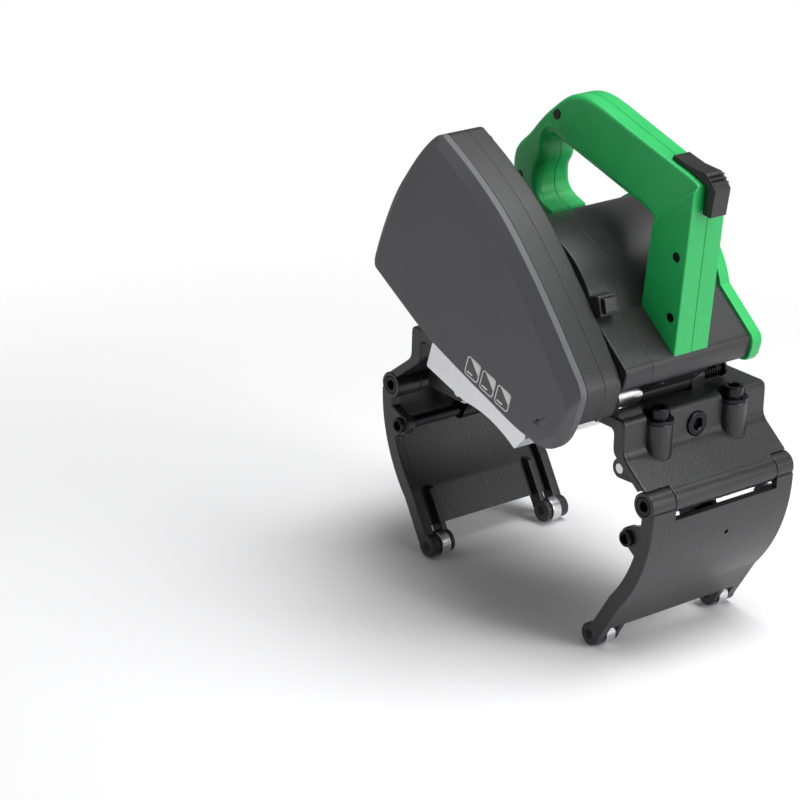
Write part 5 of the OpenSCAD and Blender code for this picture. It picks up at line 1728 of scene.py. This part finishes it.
@dataclass
class Rollers:
    """Ball-bearing rollers: bright rings with a dark seal between them."""

    diameter: float = 22.0
    width: float = 9.0
    bore: float = AXLE_BORE
    upper: Point = ROLLER_AXIS
    upper_places: tuple[float, float] = POST_PLACES
    jaw: Point = JAW_TIP
    jaw_places: tuple[float, float] = (60.8, 183.2)

    def rings(self, at: Matrix) -> Solid:
        """The outer and inner ring of one roller."""
        r, w, e = self.diameter / 2, self.width, 0.6
        turns = [math.radians(30 * k) for k in range(4)]
        low = [(r - e + e * math.sin(t), e - e * math.cos(t)) for t in turns]
        shoulder = [(8.7, w - 0.2), (8.5, w - 0.5), (8.5, 0.5), (8.7, 0.2), (8.9, 0.0)]
        high = [(a, w - b) for a, b in reversed(low)]
        outer = Solid.turned(shoulder + low + high + [(8.9, w)], at, 64)
        bore = self.bore / 2
        inner = Solid.turned([
            (bore, w - 0.3), (bore, 0.3), (bore + 0.3, 0.0), (5.9, 0.0),
            (6.1, 0.2), (6.1, w - 0.2), (5.9, w), (bore + 0.3, w),
        ], at, 48)
        return outer.beside(inner)

    def seal(self, at: Matrix) -> Solid:
        """The dark seals and balls' room between the rings."""
        w = self.width
        return Solid.turned([(6.05, w - 0.55), (6.05, 0.55), (6.6, 0.45), (8.0, 0.45), (8.55, 0.6),
                             (8.55, w - 0.6), (8.0, w - 0.45), (6.6, w - 0.45)], at, 48)

    def build(self, shop: Workshop) -> None:
        """Makes and dresses every roller."""
        sets = [("yoke_rollers", self.upper, self.upper_places, "upper_rollers_{}"),
                ("jaw_rollers", self.jaw, self.jaw_places, "{}_jaw_rollers")]
        for label, axis, places, body in sets:
            for side in ("right", "left"):
                frames = [at_y(axis, y - self.width / 2) for y in places]
                rings = self.rings(frames[0]).beside(self.rings(frames[1]))
                seals = self.seal(frames[0]).beside(self.seal(frames[1]))
                if side == "left":
                    rings, seals = rings.mirrored(), seals.mirrored()
                node = f"{label}_{side}"
                shop.piece(
                    f"{node}_rings", rings, BRIGHT_STEEL, body.format(side), [node], limit=28.0
                )
                shop.piece(f"{node}_seals", seals, SEAL, body.format(side), limit=28.0)


@dataclass
class JawDrive:
    """Screws, nuts and links that swing the jaws."""

    height: float = 105.5
    place: float = 123.0
    pitch: float = 3.0
    depth: float = 1.1
    inner_end: float = 44.0
    head_at: float = 126.0

    def screw(self) -> Solid:
        """The right clamp screw with its thread and sunk head."""
        at = at_x(self.inner_end, self.place, self.height)
        steps, turn_steps, length = 24, 12, 80.0
        rings = []
        count = round(length / self.pitch * turn_steps)
        for i in range(count + 1):
            x = length * i / count
            ring = []
            for k in range(steps):
                t = math.tau * k / steps
                wave = (x / self.pitch - k / steps) % 1.0
                fade = min(1.0, x / 3.0, (length - x) / 3.0)
                r = 6.0 - self.depth * fade * (1.0 - abs(wave * 2.0 - 1.0))
                ring.append(at @ Vector((r * math.cos(t), r * math.sin(t), x)))
            rings.append(ring)
        thread = Solid.from_rings(rings)
        head = cap_screw(
            at_x(self.head_at, self.place, self.height), 3.0, 11.9, 20.0, 5.0, 9.0, 4.2
        )
        groove = Solid.turned([(7.2, 4.4), (7.7, 4.4), (7.7, 6.0), (7.2, 6.0)],
                              at_x(self.head_at, self.place, self.height), 48)
        return thread.beside(head.cut(groove))

    def build(self, shop: Workshop) -> None:
        """Makes and dresses both drives."""
        for side in ("right", "left"):
            shape = self.screw()
            if side == "left":
                shape = shape.mirrored()
            shop.piece(
                f"clamp_screw_{side}_thread", shape, DARK_STEEL, f"{side}_screw",
                [f"clamp_screw_{side}"], limit=32.0
            )
        shop.carry_over(BRONZE, "clamp_nut_right", "clamp_nut_left")
        shop.carry_over(DARK_STEEL, "jaw_link_right", "jaw_link_left")


@dataclass
class PlungeHinge:
    """Frame, pin and return spring that carry the saw unit on the clamp."""

    front: float = 82.6
    back: float = 134.6
    pin: float = 8.0
    pin_from: float = 47.0
    pin_to: float = 172.0
    head: float = 14.0
    coil: float = 5.3
    wire: float = 2.0
    pitch: float = 2.7
    turns: int = 6
    coil_from: float = 150.8
    shares: list[Point] = field(default_factory=lambda: [
        (0.66, -0.1), (1.47, 0.2), (1.47, -0.045), (1.3, -0.32), (
            1.18, -0.42
        ), (1.05, -0.4), (0.9, -0.3), (0.66, -0.31),
    ])

    def frame(self, housing: Outline, radius: float) -> Solid:
        """The cast frame under the motor housing."""
        outline = corner_cut(scaled(self.shares, radius), {2: 2.0, 3: 4.0, 7: 2.0}, 3)
        solid = Solid.prism(outline, self.front, self.back, 1.0, 1.0)
        solid.cut(Solid.prism(housing, self.front - 2.0, self.back + 2.0))
        solid.add(Solid.rod(at_y(PIVOT, self.front), self.back - self.front, BARREL, 1.0))
        return solid.cut(
            Solid.rod(at_y(PIVOT, self.front - 2.0), self.back - self.front + 4.0, AXLE_BORE)
        )

    def hinge_pin(self) -> Solid:
        """The pin with a flat head at each end."""
        r, h = self.pin / 2, self.head / 2
        low = [(0.0, -3.0), (h - 0.8, -3.0), (h, -2.2), (h, 0.0), (r, 0.0)]
        length = self.pin_to - self.pin_from
        high = [(a, length - b) for a, b in reversed(low)]
        return Solid.turned(low + high, at_y(HINGE, self.pin_from), 48)

    def spring(self) -> Solid:
        """The coil spring as a round wire wound round the pin."""
        sides, steps = 12, 40
        count = self.turns * steps
        rings = []
        for i in range(count + 1):
            t = math.tau * i / steps
            rise = self.pitch * i / steps
            out = Vector((math.cos(t), 0.0, math.sin(t)))
            centre = Vector((HINGE[0], self.coil_from + rise, HINGE[1])) + out * self.coil
            round_pin = Vector((-math.sin(t), 0.0, math.cos(t))) * self.coil
            way = (round_pin + Vector((0.0, self.pitch / math.tau, 0.0))).normalized()
            across = way.cross(out).normalized()
            ring = []
            for k in range(sides):
                a = math.tau * k / sides
                ring.append(centre + (out * math.cos(a) + across * math.sin(a)) * (self.wire / 2))
            rings.append(ring)
        return Solid.from_rings(rings)

    def build(self, shop: Workshop, housing: Outline, radius: float) -> None:
        """Makes and dresses the hinge's pieces."""
        frame_solid = self.frame(housing, radius)
        shop.piece(
            "hinge_casting", frame_solid, GEAR_METAL, "saw_unit", ["hinge_frame"], Place.UNIT, 40.0
        )
        shop.piece(
            "plunge_hinge_pin", self.hinge_pin(), DARK_STEEL, "clamp", ["plunge_pin"], limit=30.0
        )
        shop.piece(
            "return_spring", self.spring(), DARK_STEEL, "clamp", ["plunge_spring"], limit=60.0
        )
        shop.carry_over(DARK_STEEL, "hinge_frame_screws")


# Studio


@dataclass(frozen=True)
class Lamp:
    """A soft rectangular light.

    Attributes:
        name: Name of the light.
        place: Where it stands, in metres.
        power: Watts.
        size: Width and height in metres.
    """

    name: str
    place: tuple[float, float, float]
    power: float
    size: Point


@dataclass
class Studio:
    """Floor, lights, surroundings and camera."""

    floor_height: float = -0.0756
    target: tuple[float, float, float] = (0.0, 0.1, 0.12)
    eye: tuple[float, float, float] = (1.65524, -1.40356, 0.96930)
    right: tuple[float, float, float] = (0.6209, 0.7836, 0.0232)
    up: tuple[float, float, float] = (-0.3023, 0.2120, 0.9294)
    behind: tuple[float, float, float] = (0.7234, -0.5840, 0.3685)
    lens: float = 135.0
    surround: float = 0.2
    lamps: list[Lamp] = field(default_factory=lambda: [
        Lamp("overhead", (0.35, 0.35, 1.7), 36.0, (1.3, 1.3)),
        Lamp("right_side", (1.7, 0.75, 0.75), 20.0, (0.8, 1.1)),
        Lamp("left_front", (-0.9, -1.6, 0.8), 3.5, (1.0, 1.0)),
    ])

    def floor(self) -> bpy.types.Object:
        """A pale floor that fades into the white surroundings."""
        bm = bmesh.new()
        size = 6.0
        corners = [(-size, -size), (size, -size), (size, size), (-size, size)]
        bm.faces.new([bm.verts.new((x, y, self.floor_height)) for x, y in corners])
        mesh = bpy.data.meshes.new("studio_floor")
        bm.to_mesh(mesh)
        bm.free()
        made = bpy.data.objects.new("studio_floor", mesh)
        bpy.context.scene.collection.objects.link(made)
        material = bpy.data.materials.new("studio_floor")
        material.use_nodes = True
        tree = material.node_tree
        shader = next(n for n in tree.nodes if n.bl_idname == "ShaderNodeBsdfPrincipled")
        shader.inputs["Base Color"].default_value = (0.86, 0.86, 0.87, 1.0)
        shader.inputs["Roughness"].default_value = 0.9
        output = next(n for n in tree.nodes if n.bl_idname == "ShaderNodeOutputMaterial")
        glow = tree.nodes.new("ShaderNodeEmission")
        glow.inputs["Color"].default_value = (1.0, 1.0, 1.0, 1.0)
        mix = tree.nodes.new("ShaderNodeMixShader")
        place = tree.nodes.new("ShaderNodeTexCoord")
        length = tree.nodes.new("ShaderNodeVectorMath")
        length.operation = "LENGTH"
        tree.links.new(place.outputs["Object"], length.inputs[0])
        fade = tree.nodes.new("ShaderNodeMapRange")
        fade.inputs["From Min"].default_value = 0.3
        fade.inputs["From Max"].default_value = 0.9
        tree.links.new(length.outputs["Value"], fade.inputs["Value"])
        path = tree.nodes.new("ShaderNodeLightPath")
        seen = tree.nodes.new("ShaderNodeMath")
        seen.operation = "MULTIPLY"
        tree.links.new(fade.outputs["Result"], seen.inputs[0])
        tree.links.new(path.outputs["Is Camera Ray"], seen.inputs[1])
        tree.links.new(seen.outputs[0], mix.inputs[0])
        tree.links.new(shader.outputs[0], mix.inputs[1])
        tree.links.new(glow.outputs[0], mix.inputs[2])
        tree.links.new(mix.outputs[0], output.inputs["Surface"])
        mesh.materials.append(material)
        return made

    def lights(self) -> None:
        """Soft lights aimed at the machine."""
        for lamp in self.lamps:
            data = bpy.data.lights.new(lamp.name, "AREA")
            data.shape = "RECTANGLE"
            data.size, data.size_y = lamp.size
            data.energy = lamp.power
            made = bpy.data.objects.new(lamp.name, data)
            made.location = lamp.place
            toward = Vector(self.target) - Vector(lamp.place)
            made.rotation_euler = toward.to_track_quat("-Z", "Y").to_euler()
            bpy.context.scene.collection.objects.link(made)

    def surroundings(self) -> None:
        """White to the camera and a plain pale light to everything else."""
        world = bpy.data.worlds.new("surroundings")
        world.use_nodes = True
        tree = world.node_tree
        tree.nodes.clear()
        output = tree.nodes.new("ShaderNodeOutputWorld")
        seen, lit = tree.nodes.new("ShaderNodeBackground"), tree.nodes.new("ShaderNodeBackground")
        seen.inputs["Color"].default_value = (1.0, 1.0, 1.0, 1.0)
        seen.inputs["Strength"].default_value = 1.0
        lit.inputs["Color"].default_value = (1.0, 1.0, 1.0, 1.0)
        lit.inputs["Strength"].default_value = self.surround
        mix = tree.nodes.new("ShaderNodeMixShader")
        path = tree.nodes.new("ShaderNodeLightPath")
        tree.links.new(path.outputs["Is Camera Ray"], mix.inputs[0])
        tree.links.new(lit.outputs[0], mix.inputs[1])
        tree.links.new(seen.outputs[0], mix.inputs[2])
        tree.links.new(mix.outputs[0], output.inputs["Surface"])
        bpy.context.scene.world = world

    def camera(self) -> None:
        """The camera at the photograph's angle."""
        data = bpy.data.cameras.new("camera")
        data.lens, data.sensor_width = self.lens, 36.0
        data.clip_start, data.clip_end = 0.05, 50.0
        made = bpy.data.objects.new("camera", data)
        made.matrix_world = Matrix((
            (self.right[0], self.up[0], self.behind[0], self.eye[0]),
            (self.right[1], self.up[1], self.behind[1], self.eye[1]),
            (self.right[2], self.up[2], self.behind[2], self.eye[2]),
            (0.0, 0.0, 0.0, 1.0),
        ))
        bpy.context.scene.collection.objects.link(made)
        bpy.context.scene.camera = made

    def build(self) -> None:
        """Sets the stage."""
        self.floor()
        self.lights()
        self.surroundings()
        self.camera()
        bpy.context.scene.view_settings.view_transform = "Standard"


def main() -> None:
    """Builds every sub-assembly and the studio."""
    logging.basicConfig(level=logging.INFO, format="%(message)s")
    shop = Workshop(Paintbox(Effects()))
    motor = Motor()
    housing = motor.outline()
    Guard().build(shop)
    LowerGuard().build(shop)
    BladeSet().build(shop)
    motor.build(shop)
    Handle().build(shop, housing)
    PlungeHinge().build(shop, housing, motor.radius)
    Clamp().build(shop)
    Jaws().build(shop)
    Rollers().build(shop)
    JawDrive().build(shop)
    Studio().build()


if __name__ == "__main__":
    main()
